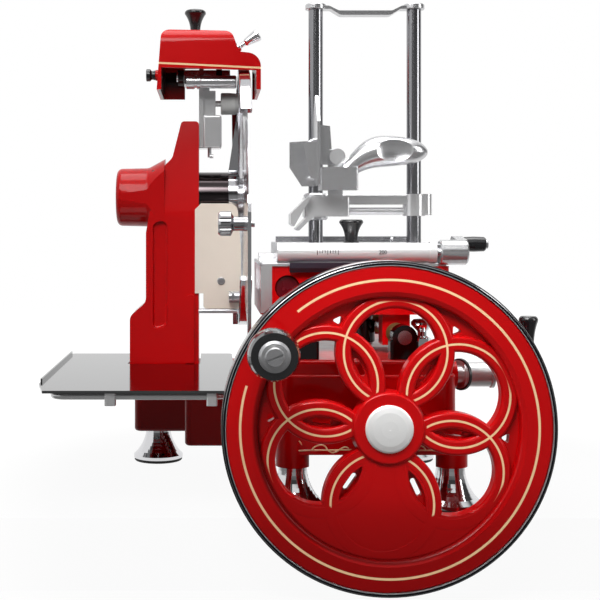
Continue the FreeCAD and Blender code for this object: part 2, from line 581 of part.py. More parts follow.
def cover_latch():
    """Small thumb nut on the left wall of the hood."""
    x = COVER_X0 - 2.0
    grip = spun([(6.5, 0, 1), (5.5, 5, 2), (8, 7, 1), (8, 12, 1)], (x, LATCH_AT[1], LATCH_AT[2]), (-1, 0, 0))
    return fuse(grip, along_x(x - 1, x + 9, LATCH_AT[1], LATCH_AT[2], 2.5))


def sharpener_lever():
    points = [(6, 0.8, 0.6), (6, 5, 1.5), (3.4, 6, 1), (3.4, 13, 2), (5, 15, 2), (8, 31, 1), (8, 34, 1), (6, 35)]
    return spun(points, LEVER_AT, LEVER_DIR)


# ---------------------------------------------------------------- flywheel
def petal_centre(k):
    a = math.radians(PETAL_TURN + 30 + 60 * k)
    return WHEEL_X + PETAL_AT * math.cos(a), WHEEL_Z + PETAL_AT * math.sin(a)


def flower_rib(k, low):
    """One ring of the flower: its face stands up with rounded shoulders."""
    x, z = petal_centre(k)
    r_in, r_out = PETAL_R - PETAL_W, PETAL_R + PETAL_W
    depth = WHEEL_BACK - 14 - low
    outer = spun([(r_out, depth), (r_out, 0, 3.5)], (x, low, z), (0, 1, 0))
    inner = spun([(r_in, depth + 1), (r_in, 3.5), (r_in + 1, 1.1, 1.5), (r_in + 3.4, -0.1), (r_in + 3.4, -2)],
                 (x, low, z), (0, 1, 0))
    return outer.cut(inner)


def turned_about_shaft(shape, angle):
    """Turn a cutter that was drawn along +x from the shaft."""
    shape.rotate(V(0, 0, 0), V(0, 1, 0), -angle)
    shape.translate(V(WHEEL_X, 0, WHEEL_Z))
    return shape


def flywheel():
    y0, y1 = WHEEL_FRONT, WHEEL_BACK
    web0, web1 = y0 + 11, y1 - 14
    face = web0 - RIB_H
    rim = spun([(WHEEL_R, 0, 2), (WHEEL_R, y1 - y0, 2)], (WHEEL_X, y0, WHEEL_Z), (0, 1, 0))
    bore = spun([(RIM_IN + 6, -1), (RIM_IN + 6, 0), (RIM_IN, 3, 4), (RIM_IN, y1 - y0 + 1)],
                (WHEEL_X, y0, WHEEL_Z), (0, 1, 0))
    rim = rim.cut(bore)
    inside = along_y(WHEEL_X, y0, y1, WHEEL_Z, RIM_IN + 1)
    web = along_y(WHEEL_X, web0, web1, WHEEL_Z, RIM_IN + 1)
    ribs = [flower_rib(k, face) for k in range(PETALS)]
    x, z = petal_centre(4)
    apron = along_y(x, face + 0.2, web0 + 1, z, PETAL_R + PETAL_W - 1)
    fan = box(PETAL_AT, WHEEL_R, face + 0.2, web0 + 1, -120, 120)
    apron = fuse(apron, turned_about_shaft(fan, PETAL_TURN + 270))
    flower = ribs[0].fuse(ribs[1:] + [apron]).common(inside)
    windows, lenses = [], []
    for k in range(PETALS):
        x, z = petal_centre(k)
        xa, za = petal_centre(k - 1)
        xb, zb = petal_centre(k + 1)
        disc = along_y(x, y0, y1, z, PETAL_R - PETAL_W)
        if k != 4:
            windows.append(disc.cut([along_y(xa, y0, y1, za, PETAL_R + PETAL_W),
                                     along_y(xb, y0, y1, zb, PETAL_R + PETAL_W)]))
        lens = along_y(x, y0, web0 + 4, z, PETAL_R - PETAL_W)
        lenses.append(lens.common(along_y(xb, y0, web0 + 4, zb, PETAL_R - PETAL_W)))
        a = PETAL_TURN + 60 * (k + 1)
        slot_in, slot_out = RIM_IN - 75, RIM_IN - 60
        slot = fuse(box(slot_in, slot_out, y0, y1, -2.7, 2.7), along_y(slot_in, y0, y1, 0, 2.7),
                    along_y(slot_out, y0, y1, 0, 2.7))
        windows.append(turned_about_shaft(slot, a))
        if k not in (3, 4):
            hole = cast_xz([(RIM_IN - 19, 0, 1.6), (RIM_IN - 10, 6, 1.6), (RIM_IN - 10, -6, 1.6)], y0, y1)
            windows.append(turned_about_shaft(hole, a))
    hub = spun([(HUB_R, 0, 3), (HUB_R + 3, 14), (HUB_R, 24), (HUB_R - 7, y1 - y0 + 22, 2)],
               (WHEEL_X, y0 + 3, WHEEL_Z), (0, 1, 0))
    body = rim.fuse([web, flower]).cut(windows + lenses).fuse(hub)
    gx, gz = grip_at()
    lug = along_y(gx, y0 - 3, y1, gz, 15).common(along_y(WHEEL_X, -200, 200, WHEEL_Z, WHEEL_R))
    body = body.fuse(lug).removeSplitter()
    return body.cut([along_y(WHEEL_X, y0 - 5, 0, WHEEL_Z, SHAFT_R), along_y(gx, y0 - 5, y1 + 1, gz, 6)])


def grip_at():
    a = math.radians(GRIP_TURN)
    return WHEEL_X + GRIP_AT * math.cos(a), WHEEL_Z + GRIP_AT * math.sin(a)


def flywheel_tread():
    depth = WHEEL_BACK - WHEEL_FRONT
    band = turned([(TREAD_R - 2.5, -1), (TREAD_R - 0.8, 0.2), (TREAD_R, 2), (TREAD_R, 9), (TREAD_R - 0.8, 10),
                   (TREAD_R - 0.8, 14), (TREAD_R, 15), (TREAD_R, depth - 2), (TREAD_R - 2, depth)],
                  (WHEEL_X, WHEEL_FRONT, WHEEL_Z), (0, 1, 0))
    return band.cut(along_y(WHEEL_X, WHEEL_FRONT - 5, WHEEL_BACK + 5, WHEEL_Z, WHEEL_R))


def hub_cap():
    points = [(CAP_R, 0), (CAP_R, 1.5), (CAP_R - 2, 3), (CAP_R * 0.7, 4.6), (CAP_R * 0.35, 5.4), (0, 5.6)]
    return turned(points, (WHEEL_X, WHEEL_FRONT + 3, WHEEL_Z), (0, -1, 0))


GEAR_Y = CROSS_Y - PINION_R      # plane of the gear's pitch circle
PINION_X = WHEEL_X - GEAR_R      # plane of the pinion's pitch circle


def wheel_shaft():
    return along_y(WHEEL_X, WHEEL_FRONT + 3, GEAR_Y - 6, WHEEL_Z, SHAFT_R)


def toothed_cone(teeth, r_big, rise, at, along, hub_r, hub_len, bore, depth):
    """A bevel gear: a cone of height rise toward the apex, teeth cut as tapered notches."""
    tip = 0.3
    big = r_big - tip
    cone = turned([(hub_r, -hub_len), (hub_r, -depth * 1.6), (big * 0.86, -depth * 1.6), (big, 0),
                   (big * 0.68, rise * 0.30)], (0, 0, 0), (0, 0, 1))
    half = math.pi / teeth * 0.54
    notches = [wedge_notch(2 * math.pi * i / teeth, half, r_big, rise, depth) for i in range(teeth)]
    cone = cone.cut(notches)
    cone = cone.cut(cyl((0, 0, -hub_len - 1), (0, 0, 1), bore, hub_len + rise + 2))
    cone.Placement = FreeCAD.Placement(V(*at), FreeCAD.Rotation(V(0, 0, 1), V(*along)))
    return cone


def wedge_notch(a, half, r_big, rise, depth):
    """One tapered tooth space, a loft from the big end to the small end of the cone."""
    def section(scale, lift):
        r0, r1 = (r_big - depth) * scale, (r_big + depth) * scale
        h0 = rise * (1 - scale) + lift
        pts = [(r0, -half * 0.6), (r1, -half * 1.2), (r1, half * 1.2), (r0, half * 0.6)]
        up = [V(r * math.cos(a + t), r * math.sin(a + t), h0 + (r - r_big * scale) * -0.3 - (
            depth * 0.8 if r == r0 else 0)) for r, t in pts]
        return Part.makePolygon(up + [up[0]])
    return Part.makeLoft([section(1.08, 0), section(0.62, 0)], True, True)


def bevel_gear():
    return toothed_cone(GEAR_TEETH, GEAR_R, PINION_R, (WHEEL_X, GEAR_Y, WHEEL_Z), (0, 1, 0),
                        20, 22, SHAFT_R, 3.0)


def bevel_pinion():
    return toothed_cone(PINION_TEETH, PINION_R, GEAR_R, (PINION_X, CROSS_Y, WHEEL_Z), (1, 0, 0),
                        11, 20, CROSS_R, 3.0)


def cross_shaft():
    return along_x(PULLEY_X - 12, PINION_X + 5, CROSS_Y, WHEEL_Z, CROSS_R)


def pulley(z, bore):
    half = PULLEY_W / 2
    body = along_x(PULLEY_X - half, PULLEY_X + half, CROSS_Y, z, PULLEY_R)
    hub = along_x(PULLEY_X - half - 5, PULLEY_X + half + 6, CROSS_Y, z, bore + 4)
    web = [ring((PULLEY_X + s * half - (3 if s > 0 else 0), CROSS_Y, z), (1, 0, 0), PULLEY_R - 3, bore + 4, 3)
           for s in (-1, 1)]
    return fuse(body.cut(web), hub).cut(along_x(-320, -190, CROSS_Y, z, bore))


def crank_pin():
    gx, gz = grip_at()
    y = WHEEL_FRONT - 3
    pin = along_y(gx, y - 84, WHEEL_BACK - 4, gz, 6)
    shoulder = along_y(gx, y - 3, y, gz, 11)
    cap = turned([(15.5, 0), (15.5, 1.5), (13, 4), (9.5, 5), (8.5, 6.2), (8.5, 8)], (gx, y - 84, gz), (0, -1, 0))
    slot = box(gx - 10, gx + 10, y - 94, y - 90, gz - 0.8, gz + 0.8)
    slot.rotate(V(gx, 0, gz), V(0, 1, 0), -20)
    return fuse(pin, shoulder, cap.cut(slot))


def crank_grip():
    gx, gz = grip_at()
    y, points = WHEEL_FRONT - 3 - 3 - 0.5, []
    length = 80.0
    for i in range(15):
        t = i / 14
        swell = 0.42 + 0.58 * math.sin(math.pi * (0.06 + 0.74 * t) ** 1.5)
        points.append((GRIP_R * swell / 0.99, length * t))
    body = turned(points, (gx, y, gz), (0, -1, 0))
    return body.cut(along_y(gx, y - length - 1, y + 1, gz, 6 + RUN))


# ---------------------------------------------------------------- blade
def blade():
    t = BLADE_T
    points = [(118, 0), (126, 1.2), (146, 1.2), (BLADE_R, t - 0.7), (BLADE_R, t - 0.3), (152, t)]
    return turned(points, (BLADE_X, CROSS_Y, BLADE_Z), (1, 0, 0)).cut(
        along_x(BLADE_X - 1, BLADE_X + t + 1, CROSS_Y, BLADE_Z, SPINDLE_R - 2))


def blade_cap():
    r, t = 46.0, BLADE_X + BLADE_T
    points = [(r, 0), (r, 1), (r - 3, 2.6), (r * 0.6, 4.8), (r * 0.25, 5.8), (0, 6)]
    cap = turned(points, (t, CROSS_Y, BLADE_Z), (1, 0, 0))
    return cap.cut(along_x(t - 1, t + 3, CROSS_Y, BLADE_Z, SPINDLE_R - 2))


def blade_spindle():
    x1 = BLADE_X
    body = fuse(along_x(PULLEY_X - 16, x1 - 1, CROSS_Y, BLADE_Z, SPINDLE_R),
                along_x(GUARD_X0 - 0.5, x1, CROSS_Y, BLADE_Z, 26),
                along_x(x1 - 1, x1 + BLADE_T + 3, CROSS_Y, BLADE_Z, SPINDLE_R - 2))
    return body


# ---------------------------------------------------------------- carriage
LUG_YS = (50.0, 185.0)
BUSH_OUT = 12.0
STUB_X, STUB_Y = 11.0, 130.0
WAY_Y0, WAY_Y1 = 165.0, 195.0
DISC_X, DISC_Z = -91.0, 243.0


def carriage_casting():
    body = rounded_box(CAR_X0, CAR_X1, CAR_Y0, CAR_Y1, CAR_Z0, CAR_TOP, 5)
    inside = rounded_box(CAR_X0 + 7, CAR_X1 - 7, CAR_Y0 + 11, CAR_Y1 - 7, CAR_Z0 - 5, CAR_TOP - 8, 4)
    lugs = [box(x - 16, x + 16, y, y + 30, RAIL_Z - 14, CAR_TOP - 4) for x in RAIL_XS for y in LUG_YS]
    body = body.cut(inside).fuse(lugs + [along_z(STUB_X, STUB_Y, CAR_Z0, CAR_TOP - 4, 16)])
    body = body.removeSplitter()
    holes = [along_y(x, y - 1, y + 31, RAIL_Z, BUSH_OUT) for x in RAIL_XS for y in LUG_YS]
    holes.append(along_y(DISC_X, CAR_Y0 - 1, CAR_Y0 + 8, DISC_Z, 14.5))
    holes.append(along_z(STUB_X, STUB_Y, CAR_Z0 - 1, CAR_Z0 + 20, 6))
    return body.cut(holes)


def carriage_plates():
    top = rounded_box(CAR_X0, CAR_X1, CAR_Y0 - 2, CAR_Y1 + 2, CAR_TOP, CAR_TOP + PLATE_T, 4)
    top = soften(top, 1.2, edge_at("Z", CAR_TOP + PLATE_T))
    strip = box(CAR_X0, CAR_X0 + 13, CAR_Y0 - 2, CAR_Y0, CAR_Z0 + 2, CAR_TOP)
    z = CAR_TOP + PLATE_T
    way = plate_yz([(WAY_Y0 + 4, z - 1), (WAY_Y1 - 4, z - 1), (WAY_Y1 - 4, z), (WAY_Y1, z + 8),
                    (WAY_Y0, z + 8), (WAY_Y0 + 4, z)], CAR_X0 + 4, CAR_X1 - 4)
    notch = box(FEED_X1 + 2, CAR_X1 + 1, CAR_Y0 - 3, FEED_Y + 17, CAR_TOP - 1, CAR_TOP + PLATE_T + 1)
    return fuse(top, strip, way).cut(notch)


def carriage_disc():
    points = [(14.5, 0), (14.5, 3), (12.5, 4), (0, 4)]
    return turned(points, (DISC_X, CAR_Y0 + 8, DISC_Z), (0, -1, 0))


def carriage_bushes():
    out = []
    for x in RAIL_XS:
        for y in LUG_YS:
            out.append(ring((x, y, RAIL_Z), (0, 1, 0), BUSH_OUT, RAIL_R + SLIDE, 30))
    return Part.makeCompound(out)


def drive_stub():
    points = [(10.5, 0), (12, 1.5), (12, 26), (9, 28), (9, 32), (13, 33), (13, 40)]
    return fuse(turned(points, (STUB_X, STUB_Y, CAR_Z0 - 40), (0, 0, 1)),
                along_z(STUB_X, STUB_Y, CAR_Z0 - 1, CAR_Z0 + 18, 6))


def feed_rail():
    z0 = CAR_TOP + PLATE_T
    body = fuse(box(FEED_X0, FEED_X1, FEED_Y, FEED_Y + 15, z0, FEED_Z + FEED_R),
                along_x(FEED_X0, FEED_X1, FEED_Y, FEED_Z, FEED_R),
                along_x(FEED_X1 - 8, FEED_X1, FEED_Y, FEED_Z, FEED_R + 1.0))
    cuts = [along_x(FEED_X0 + 10, FEED_X1 - 12, FEED_Y, FEED_Z, 8),
            along_x(FEED_X0 + 5, FEED_X1 + 1, FEED_Y, FEED_Z, SCREW_R + RUN),
            box(FEED_X0 + 22, FEED_X1 - 14, FEED_Y, FEED_Y + 16, FEED_Z - 4, FEED_Z + 4),
            box(FEED_X1 - 9, FEED_X1 - 7.6, FEED_Y - 20, FEED_Y + 30, FEED_Z + 10.2, FEED_Z + 14)]
    for i in range(9):
        tall = 5 if i % 4 == 0 else 3
        x = -58 + i * 3.0
        cuts.append(box(x, x + 0.8, FEED_Y - 12, FEED_Y - FEED_R + 0.5, FEED_Z - tall + 2, FEED_Z + 2.5))
    return body.cut(cuts)


def feed_apron():
    y1 = CAR_Y0 - 2
    shape = [(y1, CAR_TOP + PLATE_T), (y1 - 7, CAR_TOP + PLATE_T), (y1 - 7, 266), (y1 - 5, 261), (y1, 261)]
    return plate_yz(shape, -89, 4)


def meat_table():
    z0 = TABLE_Z0
    body = rounded_box(TABLE_X0, TABLE_X1, TABLE_Y0, TABLE_Y1, z0, TABLE_TOP, 5)
    body = soften(body, 1.5, edge_at("Z", TABLE_TOP))
    lip = rounded_box(TABLE_X0 + 6, TABLE_X1 - 6, TABLE_Y1 - 5, TABLE_Y1 - 1, TABLE_TOP - 2, TABLE_TOP + 7, 1)
    fit = 0.1
    channel = plate_yz([(WAY_Y0 + 4 - fit, z0 - 1), (WAY_Y1 - 4 + fit, z0 - 1), (WAY_Y1 - 4 + fit, z0),
                        (WAY_Y1 + fit, z0 + 8.2), (WAY_Y0 - fit, z0 + 8.2), (WAY_Y0 + 4 - fit, z0)],
                       TABLE_X0 - 1, TABLE_X1 + 1)
    cuts = [channel] + [along_z(x, POST_Y, z0 + 5, TABLE_TOP + 1, POST_R) for x in POST_XS]
    cuts.append(along_z(-13.5, 72, z0 + 8, TABLE_TOP + 1, 4 + RUN))
    for i in range(5):
        y = TABLE_Y0 + 32 + i * 8
        cuts.append(along_x(TABLE_X0 - 1, TABLE_X0 + 38, y, TABLE_TOP + 1.2, 2.2))
    return fuse(body, lip).cut(cuts)


def feed_nut():
    body = fuse(along_x(-12, 12, FEED_Y, FEED_Z, 7.6),
                box(-10, 10, FEED_Y, TABLE_Y0, FEED_Z - 3.5, FEED_Z + 3.5))
    return body.cut(along_x(-13, 13, FEED_Y, FEED_Z, SCREW_R + RUN))


def feed_screw():
    body = along_x(FEED_X0 + 5.5, 117, FEED_Y, FEED_Z, SCREW_R)
    grooves = [ring((x, FEED_Y, FEED_Z), (1, 0, 0), SCREW_R + 1, SCREW_R - 0.8, 0.8)
               for x in (-80, -75, -70, 40, 45, 50)]
    return body.cut(grooves)


FEED_ARM_Y, FEED_ARM_Z = 66.0, 293.0


def feed_crank_arm():
    hub = turned([(13, 0), (14.5, 1.5), (14.5, 30), (13, 32)], (84, FEED_Y, FEED_Z), (1, 0, 0))
    flat = plate_yz([(FEED_Y - 4, FEED_Z + 14), (FEED_ARM_Y - 2, FEED_ARM_Z + 9), (FEED_ARM_Y + 3, FEED_ARM_Z - 8),
                     (FEED_Y + 5, FEED_Z - 13.6)], 104, 116)
    eye = along_x(104, 116, FEED_ARM_Y, FEED_ARM_Z, 9.5)
    pin = along_x(110, 145, FEED_ARM_Y, FEED_ARM_Z, 3.5)
    head = along_x(143.5, 146, FEED_ARM_Y, FEED_ARM_Z, 5.5)
    return fuse(hub, flat, eye, pin, head).cut(along_x(83, 117, FEED_Y, FEED_Z, SCREW_R))


def feed_grip():
    points = [(7, 0), (8.5, 2), (9, 13), (8.5, 25), (7.5, 26.6)]
    body = turned(points, (116.5, FEED_ARM_Y, FEED_ARM_Z), (1, 0, 0))
    return body.cut(along_x(115, 145, FEED_ARM_Y, FEED_ARM_Z, 3.5 + RUN))


def posts():
    return Part.makeCompound([along_z(x, POST_Y, TABLE_Z0 + 5, POST_TOP, POST_R) for x in POST_XS])


def post_strap():
    x0, x1 = POST_XS
    bosses = [spun([(13, 0, 1), (13, 7, 2)], (x, POST_Y, POST_TOP - 3), (0, 0, 1)) for x in POST_XS]
    z = POST_TOP
    link = cast_xz([(x0, z + 1), (x0 + 16, z + 1, 6), (x0 + 28, z - 5, 8), (x1 - 28, z - 5, 8), (x1 - 16, z + 1, 6),
                    (x1, z + 1), (x1, z - 3), (x1 - 18, z - 3, 6), (x1 - 30, z - 10.5, 8),
                    (x0 + 30, z - 10.5, 8), (x0 + 18, z - 3, 6), (x0, z - 3)], POST_Y - 8, POST_Y + 8)
    return fuse(link, *bosses).cut([along_z(x, POST_Y, POST_TOP - 20, POST_TOP, POST_R) for x in POST_XS])


def release_knob():
    body = trumpet((-13.5, 72, TABLE_TOP + 3), (0, 0, 1), 14, 7.5, 25)
    base = turned([(9, 0), (9, 2), (7.5, 3.2)], (-13.5, 72, TABLE_TOP), (0, 0, 1))
    return fuse(body, base, along_z(-13.5, 72, TABLE_TOP - 12, TABLE_TOP + 1, 4))


# ---------------------------------------------------------------- clamp
def clamp_arm():
    xa, xb = POST_XS
    bar = rounded_box(xa, xb, POST_Y - 10, POST_Y + 10, CLAMP_Z, CLAMP_Z + 13, 3)
    bar = soften(bar, 3, edge_at("Z", CLAMP_Z + 13))
    rod = along_x(xa, xb, POST_Y, CLAMP_Z - 8, 4.5)
    left = turned([(13, 0), (15, 2), (15, 31), (13, 33)], (xa, POST_Y, CLAMP_Z - 19), (0, 0, 1))
    right = fuse(along_z(xb, POST_Y, CLAMP_Z - 14, CLAMP_Z + 13, 14),
                 rounded_box(xb, xb + 22, POST_Y - 11, POST_Y + 11, CLAMP_Z - 13, CLAMP_Z + 13, 9))
    head = rounded_box(-66, -12, 98, POST_Y - 2, CLAMP_Z - 15, CLAMP_Z + 8, 3)
    ear = fuse(box(TILT_X - 9, TILT_X + 9, 118, 123, CLAMP_Z, TILT_Z),
               along_y(TILT_X, 118, 123, TILT_Z, 9))
    pin = fuse(along_y(TILT_X, 96, 120, TILT_Z, 4), along_y(TILT_X, 94, 97.5, TILT_Z, 9.5))
    fin = plate_xz([(-64, CLAMP_Z + 8), (-60, CLAMP_Z + 8), (-80, CLAMP_Z - 27), (-84, CLAMP_Z - 24),
                    (-84, CLAMP_Z - 12)], 84, 122)
    fin2 = plate_xz([(-60, CLAMP_Z - 11), (-56, CLAMP_Z - 15), (-74, CLAMP_Z - 32), (-78, CLAMP_Z - 30)], 84, 122)
    body = fuse(bar, rod, left, right, head, ear, pin, fin, fin2)
    return body.cut([along_z(x, POST_Y, 300, 400, POST_R + SLIDE) for x in POST_XS])


PLATE_X0, PLATE_X1 = -54.0, -50.5


def spiked_plate():
    z0 = CLAMP_Z + 22
    main = plate_yz([(66, z0), (124, z0), (124, 438), (102, 471), (92, 471), (66, 438)], PLATE_X0, PLATE_X1)
    wing = plate_xz([(-83, 417), (PLATE_X0 + 1, 419), (PLATE_X0 + 1, z0), (-68, z0), (-83, 386)], 119, 122)
    back = plate_xz([(-70, 412), (PLATE_X0 + 1, 414), (PLATE_X0 + 1, z0 + 6), (-62, z0 + 8)], 68, 71)
    hub = along_y(TILT_X, 98, 117, TILT_Z, 9)
    link = fuse(box(PLATE_X1 - 1, TILT_X, 109, 116, TILT_Z - 9, TILT_Z + 9), hub)
    brace = plate_xz([(PLATE_X1 - 1, 438), (PLATE_X1 + 16, 436), (PLATE_X1 + 18, 408), (PLATE_X1 - 1, 404)],
                     109, 113)
    spikes = []
    for z in (z0 + 10, z0 + 32, z0 + 54):
        for y in (78, 95, 112):
            spikes.append(Part.makeCone(2.0, 0.3, 8, V(PLATE_X0 + 0.5, y, z), V(-1, 0, 0)))
    body = fuse(main, wing, back, link, brace, *spikes)
    return body.cut(along_y(TILT_X, 97, 118, TILT_Z, 4 + RUN))


def clamp_handle():
    """A spoon: oval sections lofted from the root block out to the rounded end, then dished."""
    sections = ((-22, 379, 11, 9), (-8, 390, 15, 11), (8, 400, 18, 15), (30, 403.5, 18.5, 18),
                (56, 403.5, 15.5, 17), (70, 403, 11, 12), (78, 402.5, 4, 5))
    y, wires = 83.0, []
    for x, z, tall, wide in sections:
        high = tall >= wide
        oval = Part.Ellipse(V(x, y, z), max(tall, wide), min(tall, wide)).toShape()
        oval.rotate(V(x, y, z), V(0, 1, 0), 90)
        if not high:
            oval.rotate(V(x, y, z), V(1, 0, 0), 90)
        wires.append(Part.Wire([oval]))
    spoon = Part.makeLoft(wires, True, False)
    spoon = spoon.cut(Part.makeSphere(46, V(38, y - 17 - 40, 404)))
    block = rounded_box(PLATE_X1, -5, 70, 96, CLAMP_Z + 16, 384, 3)
    return fuse(spoon, block)


# ---------------------------------------------------------------- slice gauge
KNOB_Y, KNOB_Z, KNOB_L = 62.0, 317.0, 31.0


def gauge_plate():
    x0, x1 = GAUGE_X - 4, GAUGE_X
    z0 = BASE_TOP + 0.3
    plate = plate_yz([(4, z0), (36, z0), (36, 205), (106, 225), (106, 340), (96, 350), (16, 350), (6, 340),
                      (4, 330)], x0, x1)
    plate = plate.cut(along_x(x0 - 1, x1 + 1, CROSS_Y, BLADE_Z, BLADE_R + 1.5))
    tongue = box(x0, -66, DIAL_Y - 6, DIAL_Y + 6, z0, z0 + 8)
    stem = box(-88, -78, DIAL_Y - 5.5, DIAL_Y + 5.5, DIAL_Z - 5, z0 + 1)
    rod = along_x(-88, DIAL_BOSS + 14, DIAL_Y, DIAL_Z, ROD_R)
    stud = fuse(along_x(x0 - KNOB_L + 3, x1 + 6, KNOB_Y, KNOB_Z, 4), along_x(x0 - 2, x0 + 1, KNOB_Y, KNOB_Z, 9))
    return fuse(plate, tongue, stem, rod, stud)


def plate_knob():
    x1 = GAUGE_X - 6
    body = spun([(12, 0, 1.5), (14.5, 3, 2), (14.5, 15, 2), (8.5, 18, 1.5), (8.5, KNOB_L)],
                (x1 - KNOB_L, KNOB_Y, KNOB_Z), (1, 0, 0))
    flutes = []
    for i in range(9):
        a = 2 * math.pi * i / 9
        flutes.append(along_x(x1 - KNOB_L - 1, x1 - KNOB_L + 15, KNOB_Y + 16 * math.cos(a),
                              KNOB_Z + 16 * math.sin(a), 3))
    return body.cut(flutes + [along_x(x1 - KNOB_L + 4, x1 + 1, KNOB_Y, KNOB_Z, 4 + RUN)])


DRUM_END = 158.0
PLATE_TURN = math.radians(28)


def thickness_drum():
    x0, end = DIAL_BOSS, DRUM_END
    body = spun([(10, 0), (10, 8), (15.5, 8, 0.8), (15.5, 12, 0.8), (14, 12.5), (14, 38.5), (15.5, 39, 0.8),
                 (15.5, 43, 0.8), (8, 43), (8, end - x0, 1), (5, end - x0), (5, 90, 1)],
                (x0, DIAL_Y, DIAL_Z), (1, 0, 0))
    plate = cyl((x0 + 7, DIAL_Y, DIAL_Z), (-math.cos(PLATE_TURN), -math.sin(PLATE_TURN), 0), 18, 3)
    plate = plate.cut(box(x0 - 30, x0 + 0.4, DIAL_Y - 30, DIAL_Y + 30, DIAL_Z - 30, DIAL_Z + 30))
    return fuse(body, plate).cut(along_x(x0 - 10, x0 + 20, DIAL_Y, DIAL_Z, ROD_R + RUN))


def thickness_knob():
    x = 181.0
    arm = fuse(along_x(x - 5, x + 5, DIAL_Y, DIAL_Z, 9), box(x - 4, x + 4, DIAL_Y - 5, DIAL_Y + 5, DIAL_Z, DIAL_Z + 30))
    knob = trumpet((x, DIAL_Y, DIAL_Z + 28), (0, 0, 1), 10.5, 6, 38)
    return fuse(arm, knob).cut(along_x(x - 6, x + 6, DIAL_Y, DIAL_Z, 5))


put("base_casting", base_casting())
put("column_casting", column_casting())
put("feet", feet())
put("foot_pads", foot_pads())
put("tray", tray())
put("tray_frame", tray_frame())
put("carriage_rails", carriage_rails())
put("rail_brackets", rail_brackets())
put("front_bearing", front_bearing())
put("rear_bearing", rear_bearing())
put("cross_bearings", cross_bearings())
put("spindle_housing", spindle_housing())
put("blade_guard", blade_guard())
put("deflector_plate", deflector_plate())
put("deflector_fixings", deflector_fixings())
put("sharpener_bracket", sharpener_bracket())
put("sharpener_arm", sharpener_arm())
put("sharpener_stone", sharpener_stone())
put("sharpener_cover", sharpener_cover())
put("cover_knob", cover_knob())
put("cover_latch", cover_latch())
put("sharpener_lever", sharpener_lever())
put("oil_cup", oil_cup())
put("drive_belt", drive_belt())
put("flywheel", flywheel())
put("flywheel_tread", flywheel_tread())
put("hub_cap", hub_cap())
put("wheel_shaft", wheel_shaft())
put("bevel_gear", bevel_gear())
put("crank_pin", crank_pin())
put("crank_grip", crank_grip())
put("cross_shaft", cross_shaft())
put("bevel_pinion", bevel_pinion())
put("lower_pulley", pulley(WHEEL_Z, CROSS_R))
put("upper_pulley", pulley(BLADE_Z, SPINDLE_R))
put("blade", blade())
put("blade_cap", blade_cap())
put("blade_spindle", blade_spindle())
put("carriage_casting", carriage_casting())
put("carriage_plates", carriage_plates())
put("carriage_disc", carriage_disc())
put("carriage_bushes", carriage_bushes())
put("drive_stub", drive_stub())
put("feed_rail", feed_rail())
put("feed_apron", feed_apron())
put("meat_table", meat_table())
put("feed_nut", feed_nut())
put("feed_screw", feed_screw())
put("feed_crank_arm", feed_crank_arm())
put("feed_grip", feed_grip())
put("posts", posts())
put("post_strap", post_strap())
put("release_knob", release_knob())
put("clamp_arm", clamp_arm())
put("spiked_plate", spiked_plate())
put("clamp_handle", clamp_handle())
put("gauge_plate", gauge_plate())
put("plate_knob", plate_knob())
put("thickness_drum", thickness_drum())
put("thickness_knob", thickness_knob())
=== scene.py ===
# %% [markdown]
# # A hand-cranked slicer, dressed for a studio picture
# The solids of the machine arrive as a ready frame: every casting, rod and knob already has its place.
# This lesson gives them their finishes, adds the small work that sits on them, and sets up the light and
# the camera. The frame is loaded first, because every later step asks it where a piece is.

import math

import bmesh
import bpy
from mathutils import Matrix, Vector


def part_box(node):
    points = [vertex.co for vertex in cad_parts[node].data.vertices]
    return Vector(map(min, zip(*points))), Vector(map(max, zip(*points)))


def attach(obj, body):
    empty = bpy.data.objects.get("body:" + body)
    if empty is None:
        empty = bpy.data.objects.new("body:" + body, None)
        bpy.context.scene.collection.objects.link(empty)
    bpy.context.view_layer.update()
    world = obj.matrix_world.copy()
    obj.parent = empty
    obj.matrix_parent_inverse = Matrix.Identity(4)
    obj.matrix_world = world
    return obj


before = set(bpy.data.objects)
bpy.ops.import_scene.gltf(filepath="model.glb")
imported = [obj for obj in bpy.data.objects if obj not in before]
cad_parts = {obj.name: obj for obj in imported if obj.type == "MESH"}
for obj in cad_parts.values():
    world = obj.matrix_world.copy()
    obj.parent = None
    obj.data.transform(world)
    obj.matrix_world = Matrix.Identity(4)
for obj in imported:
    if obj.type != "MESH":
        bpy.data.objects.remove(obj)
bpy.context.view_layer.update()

# %% [markdown]
# ## Shader maths as plain expressions
# A painted line is a formula: "this far from that centre". Wiring it by hand takes dozens of boxes, so a
# socket is wrapped in a small class whose +, -, * and / add Math nodes. An expression then reads like the
# drawing it stands for. Any other node comes from one method that takes its type, settings and inputs.


# %% A wrapped socket and a finish
class Wire:
    """One output of a node; arithmetic on it adds Math nodes."""

    def __init__(self, finish, socket):
        self.finish = finish
        self.socket = socket

    def math(self, operation, *others):
        values = dict(enumerate((self,) + others))
        return self.finish.node("Math", {"operation": operation}, values)

    def __add__(self, other):
        return self.math("ADD", other)

    def __mul__(self, other):
        return self.math("MULTIPLY", other)

    def __sub__(self, other):
        return self.math("SUBTRACT", other)

    def __rsub__(self, other):
        return self.finish.node("Math", {"operation": "SUBTRACT"}, {0: other, 1: self})

    def __truediv__(self, other):
        return self.math("DIVIDE", other)

    def size(self):
        return self.math("ABSOLUTE")

    def below(self, edge, soft):
        """1 where the value is under the edge, fading to 0 over the soft width."""
        ends = {"From Min": edge - soft, "From Max": edge + soft, "To Min": 1.0, "To Max": 0.0}
        return self.finish.node("MapRange", {"interpolation_type": "SMOOTHSTEP"}, {"Value": self, **ends})

    def above(self, edge, soft):
        return 1.0 - self.below(edge, soft)

    def most(self, other):
        return self.math("MAXIMUM", other)

    def spread(self, low, high):
        """The 0 to 1 value stretched between two numbers."""
        return self.finish.node("MapRange", {}, {"Value": self, "To Min": low, "To Max": high})


